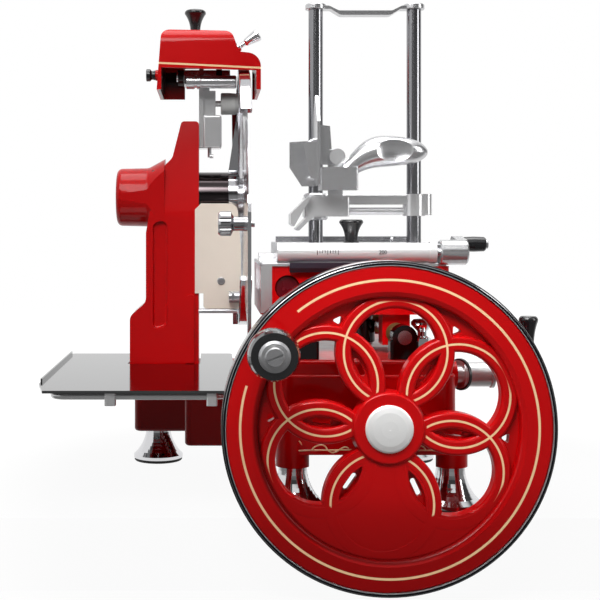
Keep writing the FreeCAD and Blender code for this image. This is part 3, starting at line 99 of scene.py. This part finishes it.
class Bench:
    """A node tree that nodes are added to with one method."""

    def __init__(self, tree):
        self.nodes = tree.nodes
        self.links = tree.links

    def node(self, kind, settings=None, inputs=None, out=0):
        made = self.nodes.new("ShaderNode" + kind)
        for key, value in (settings or {}).items():
            setattr(made, key, value)
        for key, value in (inputs or {}).items():
            self.feed(made.inputs[key], value)
        return Wire(self, made.outputs[out])

    def feed(self, socket, value):
        if isinstance(value, Wire):
            self.links.new(value.socket, socket)
        elif isinstance(value, tuple) and len(value) == 3 and socket.type == "RGBA":
            socket.default_value = (*value, 1.0)
        else:
            socket.default_value = value

    def parts(self, vector):
        split = self.node("SeparateXYZ", inputs={0: vector})
        outs = split.socket.node.outputs
        return [Wire(self, outs[i]) for i in range(3)]


class Finish(Bench):
    """A material with one Principled shader, built from node() calls."""

    def __init__(self, name, **constants):
        self.material = bpy.data.materials.new(name)
        self.material.use_nodes = True
        super().__init__(self.material.node_tree)
        self.shader = self.nodes["Principled BSDF"]
        for key, value in constants.items():
            socket = self.shader.inputs[key.replace("_", " ")]
            socket.default_value = (*value, 1.0) if isinstance(value, tuple) else value

    def place(self):
        """The point in the machine's own frame, in metres."""
        return self.node("TexCoord", out="Object")

    def axes(self):
        return self.parts(self.place())

    def stretched(self, x, y, z):
        return self.node("VectorMath", {"operation": "MULTIPLY"}, {0: self.place(), 1: (x, y, z)})

    def noise(self, scale, detail=3.0, vector=None, rough=0.5):
        inputs = {"Vector": vector or self.place(), "Scale": scale, "Detail": detail, "Roughness": rough}
        return self.node("TexNoise", {}, inputs)

    def mix(self, factor, first, second):
        made = self.node("Mix", {"data_type": "RGBA"}, {"Factor": factor}, out=2)
        box = made.socket.node
        self.feed(box.inputs[6], first)
        self.feed(box.inputs[7], second)
        return made

    def bump(self, height, strength, distance=0.001):
        inputs = {"Height": height, "Strength": strength, "Distance": distance}
        self.set("Normal", self.node("Bump", {}, inputs))

    def set(self, name, value):
        self.feed(self.shader.inputs[name], value)


print("shader helpers ready")

# %% [markdown]
# ## Red stove enamel
# The castings are sprayed and baked: a deep red under a hard clear gloss, with the faint orange-peel
# waviness of sprayed paint. Two close reds in a soft cloud keep a large face from looking flat. A red glaze
# could be mixed from two shaders, but one shader with a thin clear coat gives the same sharp shine over a
# softer one, and it stays easy to change.


# %% Red enamel
RED = (0.60, 0.0024, 0.0036)
RED_DEEP = (0.47, 0.0014, 0.0024)
CREAM = (1.0, 0.68, 0.38)
CLEAR_COAT = 0.32


def enamel(name):
    coat = Finish(name, Coat_Weight=CLEAR_COAT, Coat_Roughness=0.03, Specular_IOR_Level=0.08)
    cloud = coat.noise(14.0, 2.0)
    red = coat.mix(cloud.spread(0.0, 0.5), RED, RED_DEEP)
    coat.set("Roughness", coat.noise(60.0, 2.0).spread(0.26, 0.38))
    coat.bump(coat.noise(420.0, 1.0), 0.04, 0.0004)
    return coat, red


red_enamel, plain_red = enamel("red_enamel")
red_enamel.set("Base Color", plain_red)
print("enamel:", red_enamel.material.name)

# %% [markdown]
# ## Lined enamel for the flywheel
# A sign painter ran cream lines along the wheel: one broken circle on the rim, and one along the middle of
# each rib of the flower. Each line is a circle, so its mask is the distance from a centre, less the radius,
# kept under half the brush width. The rib lines stop short of the rim.


# %% Where the wheel's lines run
WHEEL = (0.006, 0.103)
RIM_LINE_R = 0.1552
RIM_LINE_HALF = 0.00125
RIM_GAP = (145.5, 17.5)
LEAF_CENTRE_R = 0.08
LEAF_RIB_R = 0.054
LEAF_LINE_HALF = 0.0011
HUB_EDGE_R = 0.0395
LINED_FACE_Y = -0.0735
# for each leaf its angle, how far out its line runs, and the side that is lined: 0 both, 1 left, -1 right
LEAVES = [
    (25, 0.1325, 0), (85, 0.1325, 0), (145, 0.1325, 0),
    (205, 0.1325, -1), (265, 0.1015, 0), (325, 0.1325, 1),
]


def distance(x, z, cx, cz):
    dx, dz = x - cx, z - cz
    return (dx * dx + dz * dz).math("SQRT")


def wheel_lines(coat):
    x, y, z = coat.axes()
    dx, dz = x - WHEEL[0], z - WHEEL[1]
    reach = distance(x, z, *WHEEL)
    middle, half = (math.radians(degrees) for degrees in RIM_GAP)
    gap = (dz.math("ARCTAN2", dx) - middle).size().above(half, 0.004)
    lines = (reach - RIM_LINE_R).size().below(RIM_LINE_HALF, 0.0002) * gap
    for degrees, far, side in LEAVES:
        c, s = math.cos(math.radians(degrees)), math.sin(math.radians(degrees))
        rib = distance(x, z, WHEEL[0] + LEAF_CENTRE_R * c, WHEEL[1] + LEAF_CENTRE_R * s) - LEAF_RIB_R
        rib = rib.size().below(LEAF_LINE_HALF, 0.0002) * reach.below(far, 0.001)
        if side:
            rib = rib * ((dz * c - dx * s) * side).above(0.0, 0.001)
        lines = lines.most(rib)
    return lines * reach.above(HUB_EDGE_R, 0.0008) * y.below(LINED_FACE_Y, 0.0004)


print("painted lines:", 1 + len(LEAVES))

# %% [markdown]
# ## Painted shade in the foot of the rim
# The corner where the web meets the rim gets a dark ring of painted shade, deepest at the lower left, and
# the lowest part of the web is painted darker too, also painted shade. Under the same mask the clear coat
# is made thinner and shines less, so one mask drives both the colour and the coat.

# %% Flywheel enamel with its painted shade and lines
FOOT_R = 0.1382
FOOT_HALF = 0.0036
TO_LOWER_LEFT = (-0.6, -0.8)
LOW_SHADE_BELOW = -0.085
LOW_SHADE_BEYOND_R = 0.075
WEB_FACE_Y = -0.07
# painted shade: the dark colour mixed into the wheel's red
PAINTED_SHADE_RED = (0.05, 0.0004, 0.0004)


def painted_shade(coat):
    """How much of the painted shade colour shows, from 0 to 1."""
    x, y, z = coat.axes()
    dx, dz = x - WHEEL[0], z - WHEEL[1]
    reach = distance(x, z, *WHEEL)
    # painted shade: a dark ring in the foot of the rim, stronger towards the lower left
    ring = (reach - FOOT_R).size().below(FOOT_HALF, 0.0024)
    lean = (dx * TO_LOWER_LEFT[0] + dz * TO_LOWER_LEFT[1]) / FOOT_R
    # painted shade: the lowest part of the web is darker
    low = dz.below(LOW_SHADE_BELOW, 0.06) * reach.above(LOW_SHADE_BEYOND_R, 0.02) * 0.45
    return (ring * lean.above(0.1, 0.7) * 0.8).most(low) * y.below(WEB_FACE_Y, 0.001)


wheel_enamel, wheel_red = enamel("wheel_enamel")
shade_mask = painted_shade(wheel_enamel)
# painted shade mixed into the wheel's red, with the clear coat thinned under it
wheel_red = wheel_enamel.mix(shade_mask, wheel_red, PAINTED_SHADE_RED)
wheel_enamel.set("Coat Weight", CLEAR_COAT - shade_mask * 0.3)
wheel_enamel.set("Base Color", wheel_enamel.mix(wheel_lines(wheel_enamel), wheel_red, CREAM))
print("flywheel enamel set")

# %% [markdown]
# ## Lined enamel for the sharpener hood
# The hood carries one cream line right round its lower edge, laid on with a slight slope. A tilted plane
# gives it: the height above that plane, kept under half the line's width. Inside the walls the shade is
# painted in as a near-black colour, painted shade where the inside lies out of the light. The hood's own
# box
# tells the inside from the outside: it is whatever lies low down and more than a wall in from the box's
# sides.

# %% Hood enamel
HOOD_LINE = (-0.247, 0.5243)
HOOD_SLOPE = 0.0496
HOOD_LINE_HALF = 0.0012
HOOD_WALL = 0.0045
HOOD_SHADE_TOP = 0.5270
# the colour of the painted shade inside the hood
HOOD_SHADE_COLOUR = (0.02, 0.006, 0.006)
hood_enamel, hood_red = enamel("hood_enamel")
hood_x, hood_y, hood_z = hood_enamel.axes()
hood_line = hood_z + (hood_x - HOOD_LINE[0]) * HOOD_SLOPE - HOOD_LINE[1]
hood_lined = hood_enamel.mix(hood_line.size().below(HOOD_LINE_HALF, 0.0002), hood_red, CREAM)
# painted shade: inside the hood's walls the red gives way to near-black
hood_shade_mask = hood_z.below(HOOD_SHADE_TOP, 0.0010)
for axis, low, high in zip((hood_x, hood_y), *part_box("sharpener_cover")):
    hood_shade_mask = hood_shade_mask * (axis - (low + high) / 2).size().below((high - low) / 2 - HOOD_WALL, 0.0005)
hood_enamel.set("Base Color", hood_enamel.mix(hood_shade_mask, hood_lined, HOOD_SHADE_COLOUR))
print("hood line set")

# %% [markdown]
# ## Plating and light alloy
# Chrome is nearly a mirror, with a hair of wipe marks. Cast light alloy is polished by hand and stays a
# little cloudy, so it is rougher and takes part of its light as paint does, by being less than fully
# metallic. Both are one recipe: a colour, a range of roughness and how metallic it is.


# %% Plating and alloy
def plated(name, colour, low, high, marks=30.0, metallic=1.0):
    metal = Finish(name, Base_Color=colour, Metallic=metallic)
    metal.set("Roughness", metal.noise(marks, 3.0).spread(low, high))
    metal.bump(metal.noise(90.0, 1.0), 0.008, 0.0003)
    return metal


chrome = plated("chrome", (0.72, 0.72, 0.735), 0.04, 0.12)
guard_chrome = plated("guard_chrome", (0.55, 0.55, 0.57), 0.05, 0.14)
smoked_chrome = plated("smoked_chrome", (0.45, 0.45, 0.46), 0.06, 0.16)
dark_chrome = plated("dark_chrome", (0.055, 0.045, 0.047), 0.08, 0.2)
hub_polish = plated("hub_polish", (0.92, 0.92, 0.91), 0.32, 0.40, 30.0, 0.2)
alloy = plated("cast_alloy", (0.62, 0.62, 0.63), 0.20, 0.26, 14.0, 0.86)
satin_bright = plated("satin_bright", (0.78, 0.78, 0.785), 0.20, 0.27, 14.0, 0.72)
satin_grey = plated("satin_grey", (0.42, 0.42, 0.43), 0.26, 0.32, 14.0, 0.75)
print("plated finishes: 8")

# %% [markdown]
# ## Ground and turned steel
# Ground steel shows fine lines along the way it was ground, so its noise is stretched along that axis.
# Turned faces show rings round their own axis, so their noise is read along the distance from it.


# %% Ground and turned steel
def ground(name, colour, grain, low, high, depth=0.06):
    metal = Finish(name, Metallic=1.0)
    lines = metal.noise(1.0, 3.0, metal.stretched(*grain), 0.6)
    metal.set("Base Color", metal.mix(lines, colour, tuple(c * 0.82 for c in colour)))
    metal.set("Roughness", lines.spread(low, high))
    metal.bump(lines, depth, 0.0003)
    return metal


def turned_steel(name, colour, centre, low, high):
    """Rings round the x axis at centre (y, z)."""
    metal = Finish(name, Metallic=0.75)
    y, z = metal.axes()[1:]
    reach = distance(y, z, *centre)
    outward = metal.node("CombineXYZ", inputs={0: reach * 2600.0, 1: 0.0, 2: 0.0})
    rings = metal.noise(1.0, 3.0, outward, 0.6)
    metal.set("Base Color", metal.mix(rings, colour, tuple(c * 0.8 for c in colour)))
    metal.set("Roughness", rings.spread(low, high))
    metal.bump(rings, 0.04, 0.0002)
    return metal


BLADE_AXIS = (0.245, 0.353)
steel_x = ground("steel_ground_x", (0.62, 0.62, 0.64), (20, 900, 900), 0.18, 0.34)
steel_y = ground("steel_ground_y", (0.60, 0.60, 0.62), (900, 20, 900), 0.16, 0.3)
steel_z = ground("steel_ground_z", (0.33, 0.33, 0.345), (500, 500, 8), 0.14, 0.22, 0.02)
tray_steel = ground("tray_steel", (0.19, 0.19, 0.193), (25, 700, 700), 0.05, 0.11, 0.012)
dark_steel = ground("dark_steel", (0.11, 0.09, 0.125), (30, 700, 700), 0.3, 0.45)
bronze = ground("bearing_bronze", (0.50, 0.31, 0.12), (300, 300, 300), 0.28, 0.45)
blade_steel = turned_steel("blade_steel", (0.76, 0.76, 0.79), BLADE_AXIS, 0.1, 0.24)
print("steels and bronze: 7")

# %% [markdown]
# ## The feed rail's scale
# The rail's round front is satin steel with nine scale cuts in it, three millimetres apart. The cuts are in
# the solid but hardly show until they are filled with dark wax. A remainder after division gives the
# repeat, and a limit in depth keeps the wax at the bottom of the cuts.

# %% Feed rail finish
RAIL_STEEL = (0.86, 0.86, 0.86)
WAX = (0.01, 0.01, 0.01)
CUT_START, CUT_PITCH, CUT_WIDE = -0.058, 0.003, 0.0009
CUTS_MIDDLE, CUTS_HALF = (-0.0456, 0.0306, 0.2840), (0.0127, 0.0002, 0.0028)
CUT_SOFT = (0.0001, 0.00003, 0.0001)
scaled_chrome = plated("scaled_chrome", RAIL_STEEL, 0.20, 0.26)
rail_place = scaled_chrome.axes()
cuts = (rail_place[0] - CUT_START).math("FLOORED_MODULO", CUT_PITCH).below(CUT_WIDE, 0.00005)
for axis, middle, half, soft in zip(rail_place, CUTS_MIDDLE, CUTS_HALF, CUT_SOFT):
    cuts = cuts * (axis - middle).size().below(half, soft)
scaled_chrome.set("Base Color", scaled_chrome.mix(cuts, RAIL_STEEL, WAX))
scaled_chrome.set("Metallic", 0.4 - cuts * 0.4)
print("rail finish set")

# %% [markdown]
# ## Deflector plate and thickness drum
# The deflector plate beside the blade is a warm, matt nickel. The drum is bright steel with a black plate
# set across it at a slant. Only that plate reaches beyond the drum's flanges, so its mask is a distance
# from the drum's axis.

# %% Plate and drum
DRUM_AXIS = (0.020, 0.146)
SLANT_FROM_R = 0.0159
warm_plate = Finish("warm_plate", Metallic=0.25)
warm_plate.set("Base Color", warm_plate.mix(warm_plate.noise(25.0), (0.97, 0.86, 0.75), (0.91, 0.80, 0.69)))
warm_plate.set("Roughness", warm_plate.noise(150.0).spread(0.42, 0.55))
warm_plate.bump(warm_plate.noise(500.0), 0.03, 0.0002)
drum_steel = Finish("drum_steel")
drum_y, drum_z = drum_steel.axes()[1:]
slant = distance(drum_y, drum_z, *DRUM_AXIS).above(SLANT_FROM_R, 0.0001)
drum_steel.set("Base Color", drum_steel.mix(slant, (0.72, 0.72, 0.72), (0.02, 0.02, 0.022)))
drum_steel.set("Metallic", 0.85 - slant * 0.8)
drum_steel.set("Roughness", drum_steel.noise(80.0).spread(0.28, 0.4))
print("plate and drum set")

# %% [markdown]
# ## Moulded knobs
# The knobs and the crank's ball are moulded phenolic: black, glossy, faintly uneven where hands have
# polished it. The ball is held the most, so its clear gloss is the deepest. The round disc let into the
# carriage is a dark red. None of it is metal, so the shine comes from roughness and coat alone.


# %% Knobs and disc
def moulded(name, colour, low, high, coat, coat_rough):
    made = Finish(name, Base_Color=colour, Coat_Weight=coat, Coat_Roughness=coat_rough)
    made.set("Roughness", made.noise(40.0, 3.0).spread(low, high))
    made.bump(made.noise(300.0, 2.0), 0.03, 0.0003)
    return made


knob_black = moulded("knob_black", (0.007, 0.007, 0.008), 0.16, 0.34, 0.25, 0.08)
grip_black = moulded("grip_black", (0.006, 0.006, 0.007), 0.14, 0.28, 1.0, 0.1)
dark_red = Finish("dark_red", Coat_Weight=0.3)
dark_red.set("Base Color", dark_red.mix(dark_red.noise(50.0), (0.13, 0.004, 0.010), (0.07, 0.002, 0.006)))
dark_red.set("Roughness", dark_red.noise(60.0).spread(0.2, 0.35))
print("moulded finishes: 3")

# %% [markdown]
# ## Rubber and grit
# The foot pads and the belt are dull rubber. The sharpening stone is pale grit, all tiny grains, so its
# colour changes from grain to grain and its bump is the strongest of all.

# %% Rubber and stone
rubber = Finish("rubber", Base_Color=(0.018, 0.018, 0.018))
rubber.set("Roughness", rubber.noise(150.0).spread(0.6, 0.85))
rubber.bump(rubber.noise(900.0), 0.2, 0.0003)
grit = Finish("grit")
grit.set("Base Color", grit.mix(grit.noise(1600.0, 4.0), (0.74, 0.74, 0.72), (0.50, 0.50, 0.49)))
grit.set("Roughness", grit.noise(300.0).spread(0.55, 0.8))
grit.bump(grit.noise(2200.0, 2.0), 0.3, 0.0003)
print("rubber and grit: 2")

# %% [markdown]
# ## Rim edge
# The wheel's edge is plated. On its front, a bright bead lies next to the red face, then comes a band of
# black lacquer with one fine bright line in it. One material does it by radius: a ring is bright or black
# according to how far it is from the shaft.

# %% Rim edge finish
TREAD_FRONT_Y = -0.0830
BEAD_R = 0.1706
BRIGHT_LINE_R = 0.1731
BRIGHT_LINE_HALF = 0.00022
rim_edge = Finish("rim_edge", Specular_IOR_Level=0.12)
rim_x, rim_y, rim_z = rim_edge.axes()
rim_reach = distance(rim_x, rim_z, *WHEEL)
front = rim_y.below(TREAD_FRONT_Y, 0.0003)
bead = front * rim_reach.below(BEAD_R, 0.0001)
off_line = (rim_reach - BRIGHT_LINE_R).size().above(BRIGHT_LINE_HALF, 0.00008)
lacquer = front * rim_reach.above(BEAD_R, 0.0001) * off_line
rim_edge.set("Base Color", rim_edge.mix(lacquer, (0.38, 0.38, 0.39), (0.006, 0.006, 0.008)))
rim_edge.set("Metallic", 1.0 - lacquer.most(bead * 0.8))
rim_edge.set("Roughness", rim_edge.noise(60.0).spread(0.07, 0.18))
print("rim edge set")

# %% [markdown]
# ## Dress the solids
# A table pairs each finish with the nodes that wear it, which is easier to read and to change than a line
# of code for each. Every slot of a node takes the same finish, and the count at the end shows that no node
# was missed.

# %% Dress the solids
WEARS = {
    red_enamel: "base_casting column_casting carriage_casting",
    wheel_enamel: "flywheel",
    hood_enamel: "sharpener_cover",
    rim_edge: "flywheel_tread",
    hub_polish: "hub_cap",
    guard_chrome: "blade_guard",
    scaled_chrome: "feed_rail",
    chrome: "feet oil_cup sharpener_lever",
    smoked_chrome: "plate_knob",
    satin_grey: "crank_pin deflector_fixings",
    satin_bright: "clamp_arm sharpener_bracket tray_frame carriage_plates",
    drum_steel: "thickness_drum",
    dark_chrome: "spindle_housing drive_stub rail_brackets",
    alloy: "sharpener_arm post_strap clamp_handle feed_crank_arm spiked_plate",
    steel_x: "meat_table cross_shaft feed_screw bevel_pinion lower_pulley upper_pulley",
    steel_y: "carriage_rails wheel_shaft gauge_plate bevel_gear",
    steel_z: "posts",
    tray_steel: "tray",
    warm_plate: "deflector_plate",
    blade_steel: "blade blade_cap blade_spindle",
    dark_steel: "feed_apron",
    bronze: "front_bearing rear_bearing cross_bearings carriage_bushes feed_nut",
    grip_black: "crank_grip",
    knob_black: "release_knob cover_knob cover_latch feed_grip thickness_knob",
    dark_red: "carriage_disc",
    rubber: "foot_pads drive_belt",
    grit: "sharpener_stone",
}


def dress(finish, names):
    for name in names.split():
        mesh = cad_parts[name].data
        if not mesh.materials:
            mesh.materials.append(finish.material)
        for i in range(len(mesh.materials)):
            mesh.materials[i] = finish.material


for worn, names in WEARS.items():
    dress(worn, names)
dressed = sum(len(names.split()) for names in WEARS.values())
print("dressed nodes:", dressed, "of", len(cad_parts))

# %% [markdown]
# ## Painted scrolls on the base
# Low on the front of the base a liner drew one long stroke that curls up at its end, with two small waves
# over it, and the same the other way round on the right. Paint laid by a brush stands a little proud, so a
# stroke is a thin ribbon that follows a smooth curve through a few points and thins out at both ends.


# %% A brushed ribbon
def smooth(points, steps):
    """Points on a smooth curve through the given ones."""
    ends = [points[0]] + list(points) + [points[-1]]
    out = []
    for i in range(1, len(ends) - 2):
        a, b, c, d = (Vector(p) for p in ends[i - 1:i + 3])
        for j in range(steps):
            t = j / steps
            out.append(b + (c - a) * 0.5 * t + (a - 2.5 * b + 2 * c - 0.5 * d) * t ** 2
                       + (1.5 * b - 1.5 * c + 0.5 * d - 0.5 * a) * t ** 3)
    return out + [Vector(points[-1])]


def as_object(name, form, material):
    mesh = bpy.data.meshes.new(name)
    form.to_mesh(mesh)
    form.free()
    made = bpy.data.objects.new(name, mesh)
    bpy.context.collection.objects.link(made)
    mesh.materials.append(material)
    return made


def new_piece(name, form, finish, body):
    made = as_object(name, form, finish.material)
    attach(made, body)


def brush_stroke(form, points, y, half, thick=0.00025):
    """A stroke of paint in a plane of constant y, rounded over its width."""
    line = smooth(points, 8)
    rows = []
    for i, spot in enumerate(line):
        ahead = (line[min(i + 1, len(line) - 1)] - line[max(i - 1, 0)]).normalized()
        side = Vector((-ahead.y, ahead.x))
        taper = min(1.0, 0.25 + 0.2 * min(i, len(line) - 1 - i))
        row = []
        for across, lift in ((-1, 0), (-0.6, 0.8), (0, 1), (0.6, 0.8), (1, 0)):
            place = spot + side * across * half * taper
            row.append(form.verts.new((place.x, y - thick * lift, place.y)))
        rows.append(row)
    for first, second in zip(rows, rows[1:]):
        for i in range(4):
            form.faces.new((first[i], first[i + 1], second[i + 1], second[i]))
        form.faces.new((first[4], first[0], second[0], second[4]))
    form.faces.new(rows[0][::-1])
    form.faces.new(rows[-1])


cream_paint = Finish("cream_paint", Coat_Weight=0.4, Coat_Roughness=0.05)
cream_paint.set("Base Color", cream_paint.mix(cream_paint.noise(220.0), CREAM, (0.90, 0.58, 0.30)))
cream_paint.set("Roughness", cream_paint.noise(90.0).spread(0.3, 0.45))
print("stroke helper ready")

# %% The scrolls
# the points of each stroke, across and up, in millimetres
STROKES = [
    [
        (-79.3, 72.9), (-81.5, 76.6), (-84.8, 77.6), (-88.4, 75.2), (-89.2, 71.2),
        (-85.7, 67.2), (-70, 67.2), (-40, 67.6), (-12, 68.0),
    ],
    [
        (-68.8, 67.6), (-64.5, 71.4), (-58.2, 73.2), (-53.6, 71.6), (-50.6, 67.4),
        (-46.1, 65.0), (-41.1, 65.8), (-36.8, 68.6), (-31.8, 70.9), (-27.4, 69.4),
    ],
]
MIDDLE = -5.5
BRUSH_HALF = 0.0008
FRONT_INSET = 0.006
BASE_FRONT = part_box("base_casting")[0][1] + FRONT_INSET
scrolls = bmesh.new()
for flip in (1, -1):
    for stroke in STROKES:
        spots = [((MIDDLE + flip * (x - MIDDLE)) / 1000, z / 1000) for x, z in stroke]
        brush_stroke(scrolls, spots, BASE_FRONT, BRUSH_HALF)
bmesh.ops.recalc_face_normals(scrolls, faces=scrolls.faces)
new_piece("base_scrolls", scrolls, cream_paint, "base")
print("strokes:", 2 * len(STROKES))

# %% [markdown]
# ## Number on the feed rail
# Beside its scale the rail carries a stamped number. It could be cut into the rail's mesh, but a text
# object is easier and stays sharp: a thin dark inlay standing just off the surface.

# %% Stamped number
stamp_black = Finish("stamp_black", Base_Color=(0.03, 0.03, 0.035))
stamp_black.set("Roughness", stamp_black.noise(300.0).spread(0.4, 0.6))
RAIL_LOW, RAIL_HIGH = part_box("feed_rail")
NUMBER_X, NUMBER_INSET, NUMBER_Z = 0.0175, 0.0008, 0.2822
number = bpy.data.curves.new("rail_number", "FONT")
number.body = "200"
number.size = 0.0062
number.extrude = 0.00015
number.align_x = "CENTER"
number_piece = bpy.data.objects.new("rail_number", number)
number_piece.rotation_euler = (math.radians(90), 0, 0)
number_piece.location = (NUMBER_X, RAIL_LOW[1] + NUMBER_INSET, NUMBER_Z)
bpy.context.collection.objects.link(number_piece)
number.materials.append(stamp_black.material)
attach(number_piece, "carriage")
print("number:", number.body)

# %% [markdown]
# ## Grease nipple
# A small nipple with a waist and a ball end sits on the rail's flat top. It is a turned part, so it is
# drawn as one half of its outline, radius and height, and spun round its axis.


# %% Nipple
def lathe(form, points, place, sides=32):
    """Rings of (radius, height) about a vertical axis at place; the ends are closed."""
    x, y, z = place
    turn = [math.tau * i / sides for i in range(sides)]
    rings = []
    for radius, height in points:
        ring = [(x + radius * math.cos(a), y + radius * math.sin(a), z + height) for a in turn]
        rings.append([form.verts.new(spot) for spot in ring])
    for low, high in zip(rings, rings[1:]):
        for i in range(sides):
            j = (i + 1) % sides
            form.faces.new((low[i], low[j], high[j], high[i]))
    form.faces.new(rings[0][::-1])
    form.faces.new(rings[-1])


NIPPLE = [(2.6, -0.3), (2.6, 1.2), (1.2, 1.8), (1.0, 3.0), (1.5, 3.5), (1.9, 4.3), (1.6, 5.3), (0.7, 5.8)]
NIPPLE_X, NIPPLE_Y = 0.0305, 0.048
nipple = bmesh.new()
lathe(nipple, [(r / 1000, h / 1000) for r, h in NIPPLE], (NIPPLE_X, NIPPLE_Y, RAIL_HIGH[2]))
new_piece("grease_nipple", nipple, chrome, "carriage")
print("nipple rings:", len(NIPPLE))

# %% [markdown]
# ## Studio
# The wheel hangs lower than the feet, so the machine stands on a low block whose front edge is just behind
# the wheel, with the floor under it. Both are shown almost white to the camera and keep a soft shadow: the
# share of real shading fades with distance, so neither the block's edge nor the horizon draws a line. In
# reflections the floor is white behind the machine and grey in front of it. A floor that is white all over
# would wash the red enamel out, and a dark one would take the brightness out of the plating.

# %% Floor and block
MACHINE_MIDDLE = (0.0, 0.15)
SHADOW_REACH = 0.55
WHITE_FROM_Y = 0.12


def pale(name, keep):
    """White to the camera, but near the machine a share of the real shading is kept."""
    made = Finish(name, Roughness=0.9, Base_Color=(0.2, 0.2, 0.2))
    x, y = made.axes()[:2]
    near = distance(x, y, *MACHINE_MIDDLE).below(SHADOW_REACH, 0.2)
    camera = made.node("LightPath", out="Is Camera Ray") * (1.0 - near * keep)
    mirrored = made.node("LightPath", out="Is Glossy Ray")
    behind = y.above(WHITE_FROM_Y, 0.12)
    grey_part = mirrored * (1.0 - behind) * 0.95
    white_part = camera.most(mirrored * behind * 0.85)
    shown = Wire(made, made.shader.outputs[0])
    for factor, strength in ((grey_part, 0.22), (white_part, 1.1)):
        glow = made.node("Emission", {}, {"Color": (1.0, 1.0, 1.0), "Strength": strength})
        both = made.node("MixShader", {}, {0: factor})
        made.feed(both.socket.node.inputs[1], shown)
        made.feed(both.socket.node.inputs[2], glow)
        shown = both
    made.feed(made.nodes["Material Output"].inputs["Surface"], shown)
    return made.material


def slab(name, low, high, material):
    form = bmesh.new()
    bmesh.ops.create_cube(form, size=1.0)
    for vert in form.verts:
        vert.co = Vector([lo + (hi - lo) * (c + 0.5) for lo, hi, c in zip(low, high, vert.co)])
    made = as_object(name, form, material)


SHADOW_SHARE = 0.14
FLOOR_Z = -0.078
floor_white = pale("floor_white", SHADOW_SHARE)
slab("stand_block", (-0.9, -0.046, FLOOR_Z), (0.9, 1.2, 0.0), floor_white)
slab("floor", (-4.0, -3.0, -0.104), (4.0, 4.0, FLOOR_Z), floor_white)
print("stage ready")

# %% [markdown]
# ## Lamps
# Large soft lamps from the upper left, the right and above give the long highlights that show gloss. A
# weak fourth one, with its beam narrowed by its spread, adds light on the front of the flywheel.


# %% Lamps
def lamp(name, place, target, size, watts):
    data = bpy.data.lights.new(name, "AREA")
    data.shape, data.size, data.size_y, data.energy = "RECTANGLE", size[0], size[1], watts
    made = bpy.data.objects.new(name, data)
    made.location = place
    made.rotation_euler = (Vector(target) - Vector(place)).to_track_quat("-Z", "Y").to_euler()
    bpy.context.collection.objects.link(made)
    return made


lamp("key_left", (-0.5, -0.66, 1.12), (0, 0.0, 0.25), (0.8, 0.5), 8)
wheel_key = lamp("wheel_key", (-0.12, -0.45, 0.76), (0.0, -0.09, 0.27), (0.4, 0.3), 0.7)
wheel_key.data.spread = 1.15
lamp("fill_right", (1.5, -0.7, 0.9), (0, 0.1, 0.3), (0.5, 1.2), 10)
lamp("top_soft", (0.0, 0.2, 1.6), (0, 0.2, 0.2), (1.2, 0.8), 13.5)
print("lamps: 4")

# %% [markdown]
# ## Surroundings
# Plating only looks like plating when it has both light and dark to mirror. So in reflections the world is
# white behind the machine, overhead, on a tall screen at the left and on a high one in front at the right.
# It is dim in a band at the horizon and nearly black elsewhere. As a light it is much weaker, so a colour
# renders about as it is written, and to the camera it is plain white.

# %% World
BACK_FROM = 1.95
LEFT_AT, LEFT_HALF = -1.46, 0.70
RIGHT_AT, RIGHT_HALF = 0.40, 0.55
RIGHT_LEVEL, RIGHT_TALL = 0.66, 0.20
CEILING_FROM = 0.74
HORIZON, HORIZON_HALF = -0.04, 0.2
world = bpy.data.worlds.new("studio")
bpy.context.scene.world = world
world.use_nodes = True
room = Bench(world.node_tree)
way_x, way_y, way_z = room.parts(room.node("TexCoord", out="Generated"))
# the way round from straight in front, in radians, positive to the right
bearing = way_x.math("ARCTAN2", way_y * -1.0)
back = bearing.size().above(BACK_FROM, 0.12) * 0.95
left_screen = (bearing - LEFT_AT).size().below(LEFT_HALF, 0.06) * 0.9
right_screen = (bearing - RIGHT_AT).size().below(RIGHT_HALF, 0.05) * 0.85
right_screen = right_screen * (way_z - RIGHT_LEVEL).size().below(RIGHT_TALL, 0.04)
ceiling = way_z.above(CEILING_FROM, 0.1) * 0.85
dim_wall = (way_z - HORIZON).size().below(HORIZON_HALF, 0.12) * 0.26
mirrored = back.most(0.05)
for screen in (left_screen, right_screen, ceiling, dim_wall):
    mirrored = mirrored.most(screen)
soft = way_z.spread(0.01, 0.16)
glossy = room.node("LightPath", out="Is Glossy Ray")
seen = room.node("LightPath", out="Is Camera Ray").most(room.node("LightPath", out="Is Transmission Ray"))
level = (glossy * mirrored + (1.0 - glossy) * soft) * (1.0 - seen) + seen
room.feed(room.nodes["Background"].inputs["Strength"], level)
room.nodes["Background"].inputs["Color"].default_value = (1, 1, 1, 1)
bpy.context.scene.view_settings.view_transform = "Standard"
print("world:", world.name)

# %% [markdown]
# ## Camera
# A long lens, level and square to the wheel, placed left of the shaft and above it. The lens is shifted
# instead of tilted, so uprights stay upright, as in a catalogue picture.

# %% Camera
lens = bpy.data.cameras.new("catalogue_camera")
lens.sensor_width = 36.0
lens.lens = 66.6
lens.shift_x = 0.15
lens.shift_y = -0.12
camera = bpy.data.objects.new("catalogue_camera", lens)
camera.location = (-0.1804, -1.240, 0.312)
camera.rotation_euler = (math.radians(90), 0, 0)
bpy.context.collection.objects.link(camera)
bpy.context.scene.camera = camera
print("camera at", tuple(round(v, 3) for v in camera.location))
